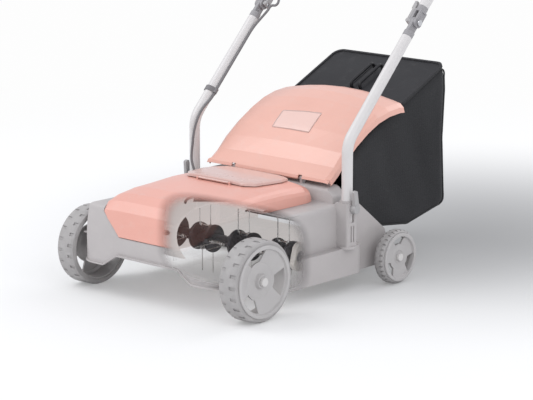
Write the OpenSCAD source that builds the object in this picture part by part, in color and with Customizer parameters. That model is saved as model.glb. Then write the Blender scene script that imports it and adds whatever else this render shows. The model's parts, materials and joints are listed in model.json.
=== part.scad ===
// Cordless lawn scarifier with tine roller and catch bag
// X runs across the machine, Y from its front to its rear, Z up from the lawn

/* [Wheels] */
// Outer diameter of a front wheel
front_wheel_d = 180; // [164:1:190]
// Width of a front wheel
front_wheel_w = 54; // [44:1:60]
// Outer diameter of a rear wheel
rear_wheel_d = 124; // [110:1:136]
// Width of a rear wheel
rear_wheel_w = 30; // [24:1:36]
// Distance between the front and rear axles
wheelbase = 457; // [448:1:475]
// Overall width over the wheels
track_w = 558; // [554:1:590]
// Thickness of the front wheels' tread band
front_tyre_t = 12; // [9:0.5:15]
// Thickness of the rear wheels' tread band
rear_tyre_t = 8; // [6:0.5:11]
// Lugs around each shoulder of a front tyre
tyre_lugs = 22; // [14:1:26]
// Diameter of the front stub axles
front_axle_d = 12; // [10:0.5:14]
// Diameter of the rear axle
rear_axle_d = 10; // [8:0.5:12]

/* [Deck] */
// Width of the deck over its side walls
deck_w = 440; // [400:1:480]
// How far the lip lies ahead of the front axle
deck_front = 78; // [70:1:86]
// Height of the shoulder above the lawn
shoulder_z = 199; // [197:0.5:204]
// Height of the front lip's low corners
lip_z = 73; // [66:1:80]
// Height of the arch between the low corners
arch_z = 99; // [92:1:106]
// Half width of the high part of the arch
arch_half = 93; // [80:1:104]
// Height of the side skirts' lower edge
skirt_z = 38; // [32:1:46]
// Height of the ledge on the side skirts
ledge_z = 103; // [98:1:108]
// How far the side skirts stand out of the side walls
skirt_out = 20; // [14:1:22]
// Wall thickness of the moulded deck
wall = 3; // [2.4:0.1:3.4]
// Radius of the deck's front corners
corner_r = 54; // [40:1:60]

/* [Hood] */
// Half width of the hood at its foot
hood_half = 157; // [152:1:165]
// Height of the hood's crown
hood_z = 248; // [244:0.5:254]
// Half width of the apron's lower edge
apron_half = 102; // [90:1:110]
// Height of the apron's lower edge
apron_z = 139; // [133:1:145]
// Thickness of the hood's shell
hood_t = 2.6; // [2:0.1:3]
// Half width of the battery lid
lid_half = 112; // [104:1:118]
// Rise of the battery lid over the hood
lid_rise = 9; // [7:0.5:12]

/* [Tine roller] */
// Distance of the roller behind the front axle
roller_y = 205; // [201:1:209]
// Height of the roller's axis in the transport setting
roller_z = 95; // [93:0.5:98]
// Radius at the tips of the tines
tine_r = 82; // [74:0.5:84]
// Distance from one pair of tines to the next
tine_pitch = 60; // [57:0.5:61]
// Wire of a tine spring
tine_wire = 2.2; // [1.8:0.1:2.4]
// Mean radius of a tine spring's curls
curl_r = 3.6; // [3.4:0.1:4]
// Whole curls in each of a spring's two coils
curls = 2; // [1:1:3]
// Clear gap between neighbouring curls
curl_gap = 0.7; // [0.5:0.1:0.9]
// Half distance between a spring's two tines
tine_half = 17; // [15:0.5:17.5]
// Diameter of the drums' cheeks
cheek_d = 64; // [62:0.5:68]
// Thickness of a cheek
cheek_t = 8; // [6:0.5:8.5]
// Diameter of the end disc
end_disc_d = 80; // [72:1:86]
// Diameter of the hub between the cheeks
hub_d = 22; // [20:0.5:24]
// Diameter of the roller's shaft
shaft_d = 12; // [11:0.5:13]
// Distance of the spring rods from the roller's axis
rod_r = 27; // [26:0.5:28]

/* [Drive] */
// Diameter of the motor's can
motor_d = 74; // [66:1:76]
// Length of the motor's can
motor_l = 118; // [100:1:130]
// Height of the motor's axis
motor_z = 174; // [172:0.5:177]
// Distance of the motor's axis behind the front axle
motor_y = 75; // [71:0.5:76]
// Radius of the belt on the motor's pulley
motor_pulley_r = 15; // [13:0.5:16]
// Radius of the belt on the roller's pulley
roller_pulley_r = 30; // [27:0.5:32]
// Width of the belt
belt_w = 9; // [7:0.5:10]
// Thickness of the belt
belt_t = 3; // [2.4:0.2:3.6]

/* [Flap] */
// Half width of the rear flap
flap_half = 186; // [180:1:190]
// Crown of the flap's rear edge
flap_crown = 22; // [16:1:26]
// Thickness of the flap
flap_t = 2.8; // [2.2:0.1:3.2]
// Depth of the rim under the flap's side edges
flap_rim = 16; // [12:1:18]
// Diameter of the flap's hinge rod
flap_rod_d = 6; // [5:0.5:7]

/* [Bag] */
// Width of the catch bag
bag_w = 334; // [326:1:340]
// Thickness of the bag's fabric
bag_t = 2.5; // [2:0.1:3]
// Height of the bag's rear top edge
bag_z = 460; // [454:1:466]
// Distance of the bag's rear face behind the front axle
bag_y = 760; // [752:1:770]
// Thickness of the bag's hard top panel
panel_t = 3; // [2:0.2:4]
// Diameter of the bag's wire frame
bag_wire_d = 6; // [5:0.5:7]

/* [Handle] */
// Diameter of the handle's tubes
tube_d = 25; // [22:0.5:26]
// Wall of the handle's tubes
tube_wall = 1.5; // [1.2:0.1:2]
// Distance between the handle's two legs, centre to centre
handle_w = 470; // [468:1:474]
// Distance of the handle's feet behind the front axle
handle_y = 318; // [314:1:322]
// Height at which the legs bend
bend_z = 339; // [330:1:350]
// Radius of that bend
bend_r = 60; // [45:1:70]
// How far the upper part leans back
lean = 43.5; // [40:0.5:46]
// Length of the lower tube from its bend to the fold joint
lower_l = 338; // [330:1:345]
// Length of the upper handle from the fold joint to the crossbar
upper_l = 580; // [560:1:600]
// Bend radius of the upper handle's corners
upper_r = 60; // [45:1:75]
// Diameter of the foam grip
grip_d = 34; // [31:0.5:38]
// Diameter of the bolts through the fold joint and the feet
bolt_d = 8; // [6:0.5:8]
// Diameter of the bail bar
bail_d = 8; // [7:0.5:9]
// Diameter of the switch cable
cable_d = 6; // [5:0.5:7]

/* [Fits] */
// Radial clearance of a shaft in its bore
run = 0.08; // [0.04:0.01:0.1]
// Gap between neighbouring pieces
gap = 0.3; // [0.25:0.05:0.4]

/* [Hidden] */
$fn = 48;

front_axle_z = front_wheel_d / 2;
rear_axle_z = rear_wheel_d / 2;
front_in = track_w / 2 - front_wheel_w;
rear_in = track_w / 2 - rear_wheel_w;
tube_r = tube_d / 2;
leg_x = handle_w / 2;
fold_y = handle_y + lower_l * sin(lean);
fold_z = bend_z + lower_l * cos(lean);
grip_y = fold_y + upper_l * sin(lean);
// Outline of the switch box across the crossbar, and how far it reaches behind the crossbar's axis
function box_outline() = rounded([[-20, -52, 8], [20, -52, 8], [23, 6, 12], [13, 19, 8], [-13, 19, 8],
    [-23, 6, 12]], 5);
box_reach = max([for (q = box_outline()) q[0] * cos(lean) + q[1] * sin(lean)]);
// Half the length of the whole machine, which puts the frame's origin under its middle
mid_y = (grip_y + max(grip_d / 2, box_reach) - front_wheel_d / 2) / 2;

// Machine grey, signal red and the other finishes
grey = "#b9b3ae";
pale = "#d9d4d0";
pink = "#e9a99a";
black = "#26262a";
steel = "#c9ccd0";

// Places of the inner walls that carry the roller, with the belt space on the left
belt_space = 24;
right_space = 21;
wall_left = -(deck_w / 2 - belt_space);
wall_right = deck_w / 2 - right_space;
plate_t = 3;
tunnel_r = tine_r + 6;
pivot_y = 103;
pivot_z = 118;
pivot_d = 12;
arm_x = wall_right - 13;
hinge_y = handle_y;
hinge_z = 243;
pulley_x = wall_left - 18;

// Corner of a polygon rounded by an arc of n steps
function unit(v) = v / norm(v);
function turn(a) = a > 180 ? a - 360 : a < -180 ? a + 360 : a;
function corner(p0, p1, p2, n) =
    let (r = len(p1) > 2 ? p1[2] : 0, v = [p1[0], p1[1]])
    let (a = unit([p0[0], p0[1]] - v), b = unit([p2[0], p2[1]] - v))
    let (half = acos(max(-1, min(1, a * b))) / 2)
    r <= 0 || half > 89 ? [v] :
    let (c = v + unit(a + b) * r / sin(half), s = v + a * r / tan(half), e = v + b * r / tan(half))
    let (a0 = atan2(s[1] - c[1], s[0] - c[0]), sweep = turn(atan2(e[1] - c[1], e[0] - c[0]) - a0))
    [for (i = [0:n]) c + r * [cos(a0 + sweep * i / n), sin(a0 + sweep * i / n)]];
function rounded(p, n = 5) = let (m = len(p))
    [for (i = [0:m - 1]) each corner(p[(i + m - 1) % m], p[i], p[(i + 1) % m], n)];
function arc(c, r, a0, a1, n) = [for (i = [0:n]) let (a = a0 + (a1 - a0) * i / n) c + r * [cos(a), sin(a)]];
function reversed(p) = [for (i = [len(p) - 1:-1:0]) p[i]];

// Outline drawn in Y and Z, extruded along X
module across(p, x0, x1) {
    translate([x0, 0, 0]) rotate([90, 0, 90]) linear_extrude(x1 - x0) polygon(p);
}

// Outline drawn in X and Z, extruded along Y
module along(p, y0, y1) {
    translate([0, y1, 0]) rotate([90, 0, 0]) linear_extrude(y1 - y0) polygon(p);
}

// Outline drawn in X and Y, extruded upwards
module upright(p, z0, z1) {
    translate([0, 0, z0]) linear_extrude(z1 - z0) polygon(p);
}

// Round bar along X
module bar_x(x0, x1, y, z, r) {
    translate([min(x0, x1), y, z]) rotate([0, 90, 0]) cylinder(h = abs(x1 - x0), r = r);
}

// Round wire bent in one plane: straight lengths with an arc of radius b at every inner point
function heading(p, i) = unit(p[i + 1] - p[i]);
function bend_trim(p, i, b) = i == 0 || i == len(p) - 1 ? 0
    : b * tan(acos(heading(p, i - 1) * heading(p, i)) / 2);
bend_seam = 0.5;
function bend_over(r) = r > 8 ? 0.15 : 0.02;
module wire(p, r, b) {
    n = len(p) - 1;
    for (i = [0:n - 1]) {
        d = heading(p, i);
        lead = i == 0 ? 0 : bend_trim(p, i, b) - bend_seam;
        tail = i == n - 1 ? 0 : bend_trim(p, i + 1, b) - bend_seam;
        translate([p[i][0] + d[0] * lead, p[i][1] + d[1] * lead, 0]) rotate([0, 90, atan2(d[1], d[0])])
            cylinder(h = norm(p[i + 1] - p[i]) - lead - tail, r = r);
    }
    for (i = [1:1:n - 1]) {
        d = heading(p, i - 1);
        e = heading(p, i);
        swing = atan2(d[0] * e[1] - d[1] * e[0], d * e);
        c = p[i] - d * bend_trim(p, i, b) + sign(swing) * b * [-d[1], d[0]];
        start = atan2(-sign(swing) * d[0], sign(swing) * d[1]);
        translate([c[0], c[1], 0]) rotate([0, 0, swing > 0 ? start : start + swing])
            rotate_extrude(angle = abs(swing)) translate([b, 0]) circle(r = r + bend_over(r));
    }
}

// Box between two corners
module box(a, b) {
    translate([min(a[0], b[0]), min(a[1], b[1]), min(a[2], b[2])])
        cube([abs(b[0] - a[0]), abs(b[1] - a[1]), abs(b[2] - a[2])]);
}

// The piece and its mirror image on the other side of the machine
module both_sides() {
    children();
    mirror([1, 0, 0]) children();
}

// One side of the machine, +1 for its right and -1 for its left
module on_side(s) {
    mirror([s < 0 ? 1 : 0, 0, 0]) children();
}

// Machine coordinates moved so that the origin lies under the middle
module place() {
    translate([0, -mid_y, 0]) children();
}

// Local frame of the upper handle: Z runs up the tube from the fold joint
module upper_frame() {
    translate([0, fold_y, fold_z]) rotate([-lean, 0, 0]) children();
}

// Local frame of the sloping part of the lower tubes, from the bend
module slope_frame() {
    translate([0, handle_y, bend_z]) rotate([-lean, 0, 0]) children();
}

// Shell of even thickness under a grid of surface points
function grid_normal(g, i, j) =
    let (n = len(g) - 1, m = len(g[0]) - 1)
    let (u = g[min(i + 1, n)][j] - g[max(i - 1, 0)][j], v = g[i][min(j + 1, m)] - g[i][max(j - 1, 0)])
    unit(cross(u, v));
function grid_offset(g, t) =
    [for (i = [0:len(g) - 1]) [for (j = [0:len(g[0]) - 1]) g[i][j] - t * grid_normal(g, i, j)]];
module shell(g, t) {
    n = len(g);
    m = len(g[0]);
    low = grid_offset(g, t);
    top = function (i, j) i * m + j;
    bot = function (i, j) n * m + i * m + j;
    pts = concat([for (r = g) each r], [for (r = low) each r]);
    skin = [for (i = [0:n - 2]) for (j = [0:m - 2]) each [
        [top(i, j), top(i, j + 1), top(i + 1, j + 1)], [top(i, j), top(i + 1, j + 1), top(i + 1, j)],
        [bot(i, j), bot(i + 1, j + 1), bot(i, j + 1)], [bot(i, j), bot(i + 1, j), bot(i + 1, j + 1)]]];
    ends = [for (j = [0:m - 2]) each [
        [top(0, j), bot(0, j), bot(0, j + 1)], [top(0, j), bot(0, j + 1), top(0, j + 1)],
        [top(n - 1, j), top(n - 1, j + 1), bot(n - 1, j + 1)],
        [top(n - 1, j), bot(n - 1, j + 1), bot(n - 1, j)]]];
    sides = [for (i = [0:n - 2]) each [
        [top(i, 0), bot(i + 1, 0), bot(i, 0)], [top(i, 0), top(i + 1, 0), bot(i + 1, 0)],
        [top(i, m - 1), bot(i, m - 1), bot(i + 1, m - 1)],
        [top(i, m - 1), bot(i + 1, m - 1), top(i + 1, m - 1)]]];
    polyhedron(pts, concat(skin, ends, sides));
}

// Tube swept along a list of points, with a frame carried from point to point
function tangent(p, i) = unit(p[min(i + 1, len(p) - 1)] - p[max(i - 1, 0)]);
function carried(p, i, v) = let (t = tangent(p, i)) unit(v - t * (t * v));
function frames(p, i, v) = i >= len(p) ? [] : let (w = carried(p, i, v)) concat([w], frames(p, i + 1, w));
module tube(p, r, sides, up) {
    f = frames(p, 0, up);
    n = len(p);
    pts = [for (i = [0:n - 1]) let (t = tangent(p, i), s = cross(t, f[i]))
        for (k = [0:sides - 1]) let (a = 360 * k / sides) p[i] + r * (cos(a) * f[i] + sin(a) * s)];
    body = [for (i = [0:n - 2]) for (k = [0:sides - 1]) let (l = (k + 1) % sides)
        each [[i * sides + k, (i + 1) * sides + l, i * sides + l],
            [i * sides + k, (i + 1) * sides + k, (i + 1) * sides + l]]];
    caps = [[for (k = [0:sides - 1]) k], [for (k = [sides - 1:-1:0]) (n - 1) * sides + k]];
    polyhedron(pts, concat(body, caps));
}

// Side profile of the deck, drawn in by t
function deck_side(t) = rounded([
    [-deck_front + t, t > 0 ? -1 : lip_z], [-deck_front + t, lip_z + 12, 6], [t - 60, apron_z, 12],
    [t - 38, shoulder_z - t, 16], [368 - t, shoulder_z - t, 14], [470 - t, 118, 14],
    [wheelbase + 24 - t, 72, 16], [wheelbase + 4 - t, t > 0 ? -1 : skirt_z],
    [108, t > 0 ? -1 : skirt_z], [108, t > 0 ? -1 : lip_z]]);
function deck_plan(t) = let (w = deck_w / 2 - t) rounded([
    [-w, 500], [-w, -deck_front + t, corner_r - t], [w, -deck_front + t, corner_r - t], [w, 500]], 9);
function deck_front_view(t) = let (w = deck_w / 2 - t) rounded([
    [-w, -2], [w, -2], [w, shoulder_z - t, 12], [-w, shoulder_z - t, 12]], 5);

module deck_solid(t) {
    intersection() {
        across(deck_side(t), -deck_w / 2, deck_w / 2);
        upright(deck_plan(t), -2, 300);
        along(deck_front_view(t), -200, 600);
    }
}

// Arch in the lip, low at the corners and high between them
module lip_arch() {
    along([[-arch_half - 43, 0], [-arch_half - 43, lip_z - 1], [-arch_half - 43, lip_z],
        [-arch_half, arch_z], [arch_half, arch_z], [arch_half + 43, lip_z], [arch_half + 43, 0]],
        -deck_front - 20, -deck_front + 60);
}

// Opening in the shoulder that the hood closes
hood_plan_half = hood_half - 9;
module hood_opening() {
    upright(rounded([[-hood_plan_half, -20], [hood_plan_half, -20], [hood_plan_half, 304, 26],
        [-hood_plan_half, 304, 26]]), shoulder_z - 20, shoulder_z + 20);
    edge = [for (i = [0:3]) let (s = hood_stations()[i])
        [s[2] + 5 * gap, s[1] - s[3] - (i == 0 ? 4 : 1) * gap]];
    along(concat([for (p = edge) [-p[0], p[1]]], [[-172, shoulder_z + 30], [172, shoulder_z + 30]],
        reversed(edge)),
        -deck_front - 20, -16);
}

// Rear hump of the deck that carries the flap's hinge
cowl_top = hinge_z - 11;
cowl_half = flap_half + 20;
function cowl_view(t) = rounded([
    [t - cowl_half, shoulder_z - 4], [cowl_half - t, shoulder_z - 4], [cowl_half - 5 - t, 214, 14],
    [cowl_half - 28 - t, cowl_top - t, 18], [t + 28 - cowl_half, cowl_top - t, 18],
        [t + 5 - cowl_half, 214, 14]], 6);

function cowl_side(t) = rounded([[304 + t, shoulder_z - 4], [311 + t, cowl_top - t, 12],
    [mouth_y + t, cowl_top - t], [mouth_y + t, shoulder_z - 4]]);
module cowl() {
    difference() {
        intersection() {
            along(cowl_view(0), 300, mouth_y);
            across(cowl_side(0), -210, 210);
        }
        intersection() {
            along(cowl_view(wall), 300, mouth_y + 10);
            across(cowl_side(wall), -210, 210);
        }
    }
}

// Side skirt with its ledge, on the machine's right
module skirt() {
    w = deck_w / 2;
    difference() {
        upright(rounded([[w - wall, 108], [w + skirt_out, 108, 10], [w + skirt_out, 372, 22],
            [w - wall, 372]]), skirt_z, ledge_z);
        upright(rounded([[w - wall - 1, 108 + wall], [w + skirt_out - wall, 108 + wall, 8],
            [w + skirt_out - wall, 372 - wall, 19], [w - wall - 1, 372 - wall]]), skirt_z - 1,
                ledge_z - wall);
    }
}

// Socket for a handle leg, with its windows and foot, on the machine's right
socket_top = shoulder_z + 7;
socket_floor = ledge_z + 9;
socket_out = tube_r + 4;
module socket() {
    difference() {
        union() {
            upright(rounded([[deck_w / 2 - wall, handle_y - socket_out - 3],
                [leg_x + socket_out, handle_y - socket_out, 6],
                [leg_x + socket_out, handle_y + socket_out, 6],
                    [deck_w / 2 - wall, handle_y + socket_out + 3]]),
                ledge_z - 1, socket_top);
            translate([leg_x, handle_y, socket_top]) cylinder(h = 5, r = tube_r + 3.6);
            translate([leg_x, handle_y, ledge_z - 1]) cylinder(h = 6, r = socket_out + 5);
        }
        box([leg_x, handle_y - 6, 162], [leg_x + 40, handle_y + 6, 186]);
        for (s = [-1, 1]) box([leg_x, handle_y + s * 4 - 1.6, ledge_z + 14],
            [leg_x + 40, handle_y + s * 4 + 1.6, 154]);
    }
}
clamp_z = shoulder_z - 6;

// Walls, tunnel and chute inside the deck
function strip(a, b, t) = let (d = unit(b - a), n = [-d[1], d[0]]) [a, b, b + n * t, a + n * t];
module roller_tunnel() {
    c = [roller_y, roller_z];
    across(concat(arc(c, tunnel_r, 52, 203, 20), reversed(arc(c, tunnel_r + wall, 52, 203, 20))),
        wall_left - 1, wall_right + 1);
    tail = c + (tunnel_r + wall / 2) * [cos(54), sin(54)];
    across(strip(tail, [306, shoulder_z - 2], -wall), wall_left - 1, wall_right + 1);
    across(strip([300, 62], [356, 96], wall), wall_left - 1, wall_right + 1);
    across(strip([355, 95.5], [408, 99], wall), -mouth_half - 2, mouth_half + 2);
}
mouth_half = bag_w / 2 + 13;
module inner_walls() {
    across(rounded([[28, floor_z], [floor_y1, floor_z], [floor_y1 + 4, 52, 10], [mouth_y, 46],
        [mouth_y, shoulder_z - 2],
        [28, shoulder_z - 2]]), wall_left - plate_t, wall_left);
    across(rounded([[112, 100], [120, 52, 10], [mouth_y, 46], [mouth_y, shoulder_z - 2],
        [112, shoulder_z - 2]]),
        wall_right, wall_right + plate_t);
    both_sides() {
        across(rounded([[mouth_y - 6, 44], [wheelbase - 2, 44, 8], [wheelbase + 14, 74, 10], [462, 116, 12],
            [366, shoulder_z - 3, 8], [mouth_y - 6, shoulder_z - 3]]), mouth_half, mouth_half + plate_t);
        along([[mouth_half, 46], [deck_w / 2 - 1, 46], [deck_w / 2 - 1, shoulder_z - 2],
            [mouth_half, shoulder_z - 2]],
            mouth_y - plate_t, mouth_y);
    }
}
mouth_y = 352;

// Front floor under the motor, with the ribs that stiffen it; the belt passes beside its left edge
floor_z = 131;
floor_y1 = 118;
module front_floor() {
    w = deck_w / 2 - 1;
    upright([[-w, -57], [w, -57], [w, floor_y1], [wall_left - plate_t, floor_y1],
        [wall_left - plate_t, 24], [-w, 24]],
        floor_z, floor_z + wall);
    for (x = [-120:60:120]) box([x - 1, -56, floor_z - 20], [x + 1, 70, floor_z + 1]);
}

// Bearing blocks of the swing axle, under the floor
module axle_blocks() {
    both_sides() box([arm_x - 20, pivot_y - 10, pivot_z - 9], [arm_x - 8, pivot_y + 10, floor_z + 1]);
}

// Ribs on the tunnel that carry the battery tray
module tray_ribs() {
    for (y = [-45, 45]) box([-78, roller_y + y - 1.5, roller_z + 76], [78, roller_y + y + 1.5, tray_z - gap]);
}

wheel_room = 1.5;
module deck() {
    color(grey) place() difference() {
        union() {
            difference() {
                deck_solid(0);
                deck_solid(wall);
                hood_opening();
                box([-mouth_half, mouth_y - 6, 104], [mouth_half, 520, 260]);
                box([-mouth_half, 409, -1], [mouth_half, 520, 200]);
            }
            // Lip that stands out all round the front edge
            difference() {
                intersection() {
                    upright(deck_plan(-3), lip_z, arch_z + 4);
                    box([-300, -deck_front - 10, 0], [300, -20, 200]);
                    union() {
                        along([[-300, lip_z], [300, lip_z], [300, lip_z + 4], [-300, lip_z + 4]], -120, 0);
                        along([[-arch_half - 48, lip_z], [-arch_half - 2, arch_z + 4],
                            [arch_half + 2, arch_z + 4],
                            [arch_half + 48, lip_z]], -120, 0);
                    }
                }
                upright(deck_plan(wall), 0, 200);
            }
            cowl();
            both_sides() {
                skirt();
                socket();
                bar_x(deck_w / 2 - wall, rear_in - 1.4, wheelbase, rear_axle_z, 15);
                // Ears that hold the flap's rod
                across(rounded([[hinge_y - 4, cowl_top - 4], [hinge_y + 8, cowl_top - 4],
                    [hinge_y + 5.4, hinge_z + 5.4, 5],
                    [hinge_y - 5.4, hinge_z + 5.4, 5]]), ear_x, ear_x + 8);
                // Rests under the bag's frame
                box([mouth_half - 30, 398, 99], [mouth_half + 1, 452, bag_floor_z - gap]);
            }
            roller_tunnel();
            inner_walls();
            front_floor();
            tray_ribs();
            axle_blocks();
            bar_x(wall_left - plate_t - 2, wall_left + 1.4, roller_y, roller_z, bearing_d / 2 + 5);
        }
        lip_arch();
        // Bores for the legs, room for the front wheels, notches for the stub axles and other bores
        both_sides() {
            translate([leg_x, handle_y, socket_floor]) cylinder(h = 120, r = tube_r + 0.1);
            bar_x(front_in - wheel_room, track_w / 2 + wheel_room, 0, front_axle_z, front_axle_z + 8);
            box([arm_x + 10, -stub_slot, 0], [deck_w / 2 + 6, stub_slot, front_axle_z + 30]);
            bar_x(mouth_half - 10, rear_in, wheelbase, rear_axle_z, rear_axle_d / 2 + run);
            bar_x(arm_x - 22, arm_x - 6, pivot_y, pivot_z, pivot_d / 2 + run);
            bar_x(ear_x - 4, ear_x + 12, hinge_y, hinge_z, flap_rod_d / 2 + run);
            bar_x(leg_x - foot_bolt_in - 9, leg_x + 40, handle_y, clamp_z, bolt_d / 2 + 0.05);
        }
        bar_x(wall_left - 10, wall_left + 6, roller_y, roller_z, bearing_d / 2 + run);
        bar_x(wall_left - 10, wall_left + 6, motor_y, motor_z, motor_boss_r + gap);
        bar_x(-deck_w / 2 - 4, wall_left + 6, pivot_y, pivot_z, pivot_d / 2 + run);
        across(belt_hatch(-10), -deck_w / 2 - 1, -deck_w / 2 + wall + 1);
        for (p = hatch_screws) bar_x(-deck_w / 2 - 1, -deck_w / 2 + wall + 1, p[0], p[1], 2.05);
        // Passages of the switch cable
        bar_x(wall_left - plate_t - 2, wall_left + 2, 240, 190, 5.5);
        across(rounded([[cable_entry_y - 9, shoulder_z - 12], [cable_entry_y + 5, shoulder_z - 12],
            [cable_entry_y + 5, shoulder_z + 6],
                [cable_entry_y - 9, shoulder_z + 6]]), -cable_entry_x - 5, -cable_entry_x + 5);
        // Bore of the roller's right end in its wall
        bar_x(wall_right - 1, wall_right + plate_t + 1, roller_y, roller_z, shaft_d / 2 + 1);
    }
}
stub_slot = front_axle_d / 2 + 5;
bearing_d = 28;
bearing_w = 8;
motor_boss_r = 14;
bag_floor_z = 107;
ear_x = 98;
bag_mouth_z = 276;
cable_entry_x = 205;
cable_entry_y = 288;

// Stations of the hood from the apron's edge to its rear foot: y, top z, half width, side drop
function hood_stations() = [
    [-62, apron_z, apron_half, 0.5], [-56, apron_z + 17, apron_half + 22, 1.5],
    [-50, apron_z + 35, apron_half + 46, 3], [-43, apron_z + 53, 167, 7],
    [-30, 213, 168, 213 - shoulder_z - 0.3], [-8, 228, 166, 228 - shoulder_z - 0.3],
    [30, 238, 162, 238 - shoulder_z - 0.3], [80, 243, hood_half, 243 - shoulder_z - 0.3],
    [140, hood_z, hood_half, hood_z - shoulder_z - 0.3], [210, hood_z, hood_half, hood_z - shoulder_z - 0.3],
    [270, hood_z - 4, hood_half, hood_z - 4 - shoulder_z - 0.3],
    [289, hood_z - 11, hood_half - 4, hood_z - 11 - shoulder_z - 0.3],
    [299, 222, hood_half - 10, 222 - shoulder_z - 0.3], [302, 203.4, hood_half - 14, 1.5]];
function hood_point(s, a) = let (c = cos(a), k = sin(a))
    [-s[2] * sign(c) * pow(abs(c), 0.42), s[0], s[1] - s[3] + s[3] * pow(k, 0.5)];
function hood_grid() = [for (s = hood_stations())
    [for (i = [0:18]) hood_point(s, 180 - (180 * i / 18))]];
module hood() {
    color(pink) place() difference() {
        union() {
            shell(hood_grid(), hood_t);
            // Ears that hold the lid's pin
            both_sides() bar_x(47, 51, lid_pin_y, lid_pin_z, lid_ear_r);
            both_sides() box([47, lid_pin_y - lid_ear_r, hood_z - 3], [51, lid_pin_y + lid_ear_r, lid_pin_z]);
        }
        both_sides() bar_x(46.5, 52.5, lid_pin_y, lid_pin_z, 1.5 + run);
        // Opening over the battery packs
        upright(rounded([[-lid_half + 14, lid_y0 + 12, 30], [lid_half - 14, lid_y0 + 12, 30],
            [lid_half - 14, lid_y1 - 14, 30], [-lid_half + 14, lid_y1 - 14, 30]], 5), hood_z - 22,
                hood_z + 2);
    }
}
lid_y0 = 138;
lid_y1 = 288;

// Height of the hood's surface at a point of its plan
function hood_top(y) = lookup(y, [for (s = hood_stations()) [s[0], s[1]]]);
function hood_width(y) = lookup(y, [for (s = hood_stations()) [s[0], s[2]]]);
function hood_drop(y) = lookup(y, [for (s = hood_stations()) [s[0], s[3]]]);
function hood_at(x, y) = let (c = pow(min(1, abs(x) / hood_width(y)), 1 / 0.42))
    hood_top(y) - hood_drop(y) * (1 - pow(1 - c * c, 0.25));

// Raised lid over the batteries, hinged at its front
function lid_stations() = [
    [lid_y0, 0.06, 0.7], [lid_y0 + 0.8, 0.7, 0.73], [lid_y0 + 4, 0.9, 0.79], [lid_y0 + 22, 1, 0.94],
        [lid_y0 + 72, 1, 1],
    [lid_y0 + 102, 0.96, 0.99], [lid_y1 - 18, 0.8, 0.91], [lid_y1 - 6, 0.5, 0.8], [lid_y1, 0.12, 0.66]];
function lid_point(s, a) = let (c = cos(a), x = -lid_half * s[2] * sign(c) * pow(abs(c), 0.5))
    [x, s[0], hood_at(x, s[0]) + 6 * gap + lid_rise * s[1] * pow(sin(a), 0.45)];
function lid_grid() = [for (s = lid_stations()) [for (i = [0:12]) lid_point(s, 180 - 15 * i)]];
module battery_lid() {
    color(pale) place() union() {
        shell(lid_grid(), 2);
        // Knuckle along the front edge, round the pin
        difference() {
            union() {
                bar_x(-46, 46, lid_pin_y, lid_pin_z, 2.6);
                box([-46, lid_pin_y, lid_pin_z - 1.6], [46, lid_y0 + 1, lid_pin_z + 1.6]);
            }
            bar_x(-54, 54, lid_pin_y, lid_pin_z, 1.5 + run);
        }
    }
}
lid_ear_r = 2.4;
lid_pin_y = lid_y0 - lid_ear_r - gap - 0.1;
lid_pin_z = hood_z + 4;

module lid_pin() {
    color(steel) place() bar_x(-52, 52, lid_pin_y, lid_pin_z, 1.5);
}

// Two removable battery packs side by side on their tray
tray_z = roller_z + tunnel_r + wall + gap;
module battery_packs() {
    color(black) place() for (s = [-1, 1]) translate([s * 41, 0, 0]) {
        upright(rounded([[-36, 156, 8], [36, 156, 8], [36, 266, 8], [-36, 266, 8]]), tray_z + 3.3,
            tray_z + 40);
        upright(rounded([[-33, 160, 8], [33, 160, 8], [33, 262, 8], [-33, 262, 8]]), tray_z + 39,
            tray_z + 52);
        box([-16, 258, tray_z + 44], [16, 268, tray_z + 51]);
    }
}

module battery_tray() {
    color(grey) place() difference() {
        upright(rounded([[-84, 150, 6], [84, 150, 6], [84, 272, 6], [-84, 272, 6]]), tray_z, tray_z + 14);
        for (s = [-1, 1]) translate([s * 41, 0, 0])
            upright(rounded([[-36.6, 155.4, 8], [36.6, 155.4, 8], [36.6, 266.6, 8], [-36.6, 266.6, 8]]),
                tray_z + 3, tray_z + 20);
    }
}

module controller() {
    color(grey) place() difference() {
        box([20, 6, floor_z + wall + gap], [130, 74, 160]);
        for (i = [0:6]) box([28 + i * 14, 0, 152], [36 + i * 14, 80, 162]);
    }
}

// Motor with its cooling slots, flange and bearing boss
motor_x1 = wall_left + gap;
can_x0 = -143;
module motor() {
    color(grey) place() difference() {
        union() {
            bar_x(can_x0, can_x0 + motor_l, motor_y, motor_z, motor_d / 2);
            bar_x(can_x0 - 4, can_x0 + 1, motor_y, motor_z, motor_d / 2 - 4);
            bar_x(motor_x1, can_x0 - 3, motor_y, motor_z, 19);
            bar_x(motor_x1 - plate_t, motor_x1 + 1, motor_y, motor_z, motor_boss_r);
            bar_x(can_x0 + motor_l - 1, can_x0 + motor_l + 12, motor_y, motor_z, 16);
            // Feet that stand on the floor
            for (x = [8, motor_l - 40])
                box([can_x0 + x, motor_y - 24, floor_z + wall + gap],
                    [can_x0 + x + 14, motor_y + 18, motor_z - 20]);
        }
        bar_x(motor_x1 - 10, can_x0 + motor_l + 13, motor_y, motor_z, 4 + run);
        for (a = [0:45:315]) translate([can_x0 + motor_l - 22, motor_y, motor_z]) rotate([a + 22, 0, 0])
            box([0, motor_d / 2 - 4, -4], [16, motor_d / 2 + 4, 4]);
    }
}

module motor_shaft() {
    color(steel) place() bar_x(pulley_x - 2, can_x0 + motor_l + 16, motor_y, motor_z, 4);
}

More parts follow.
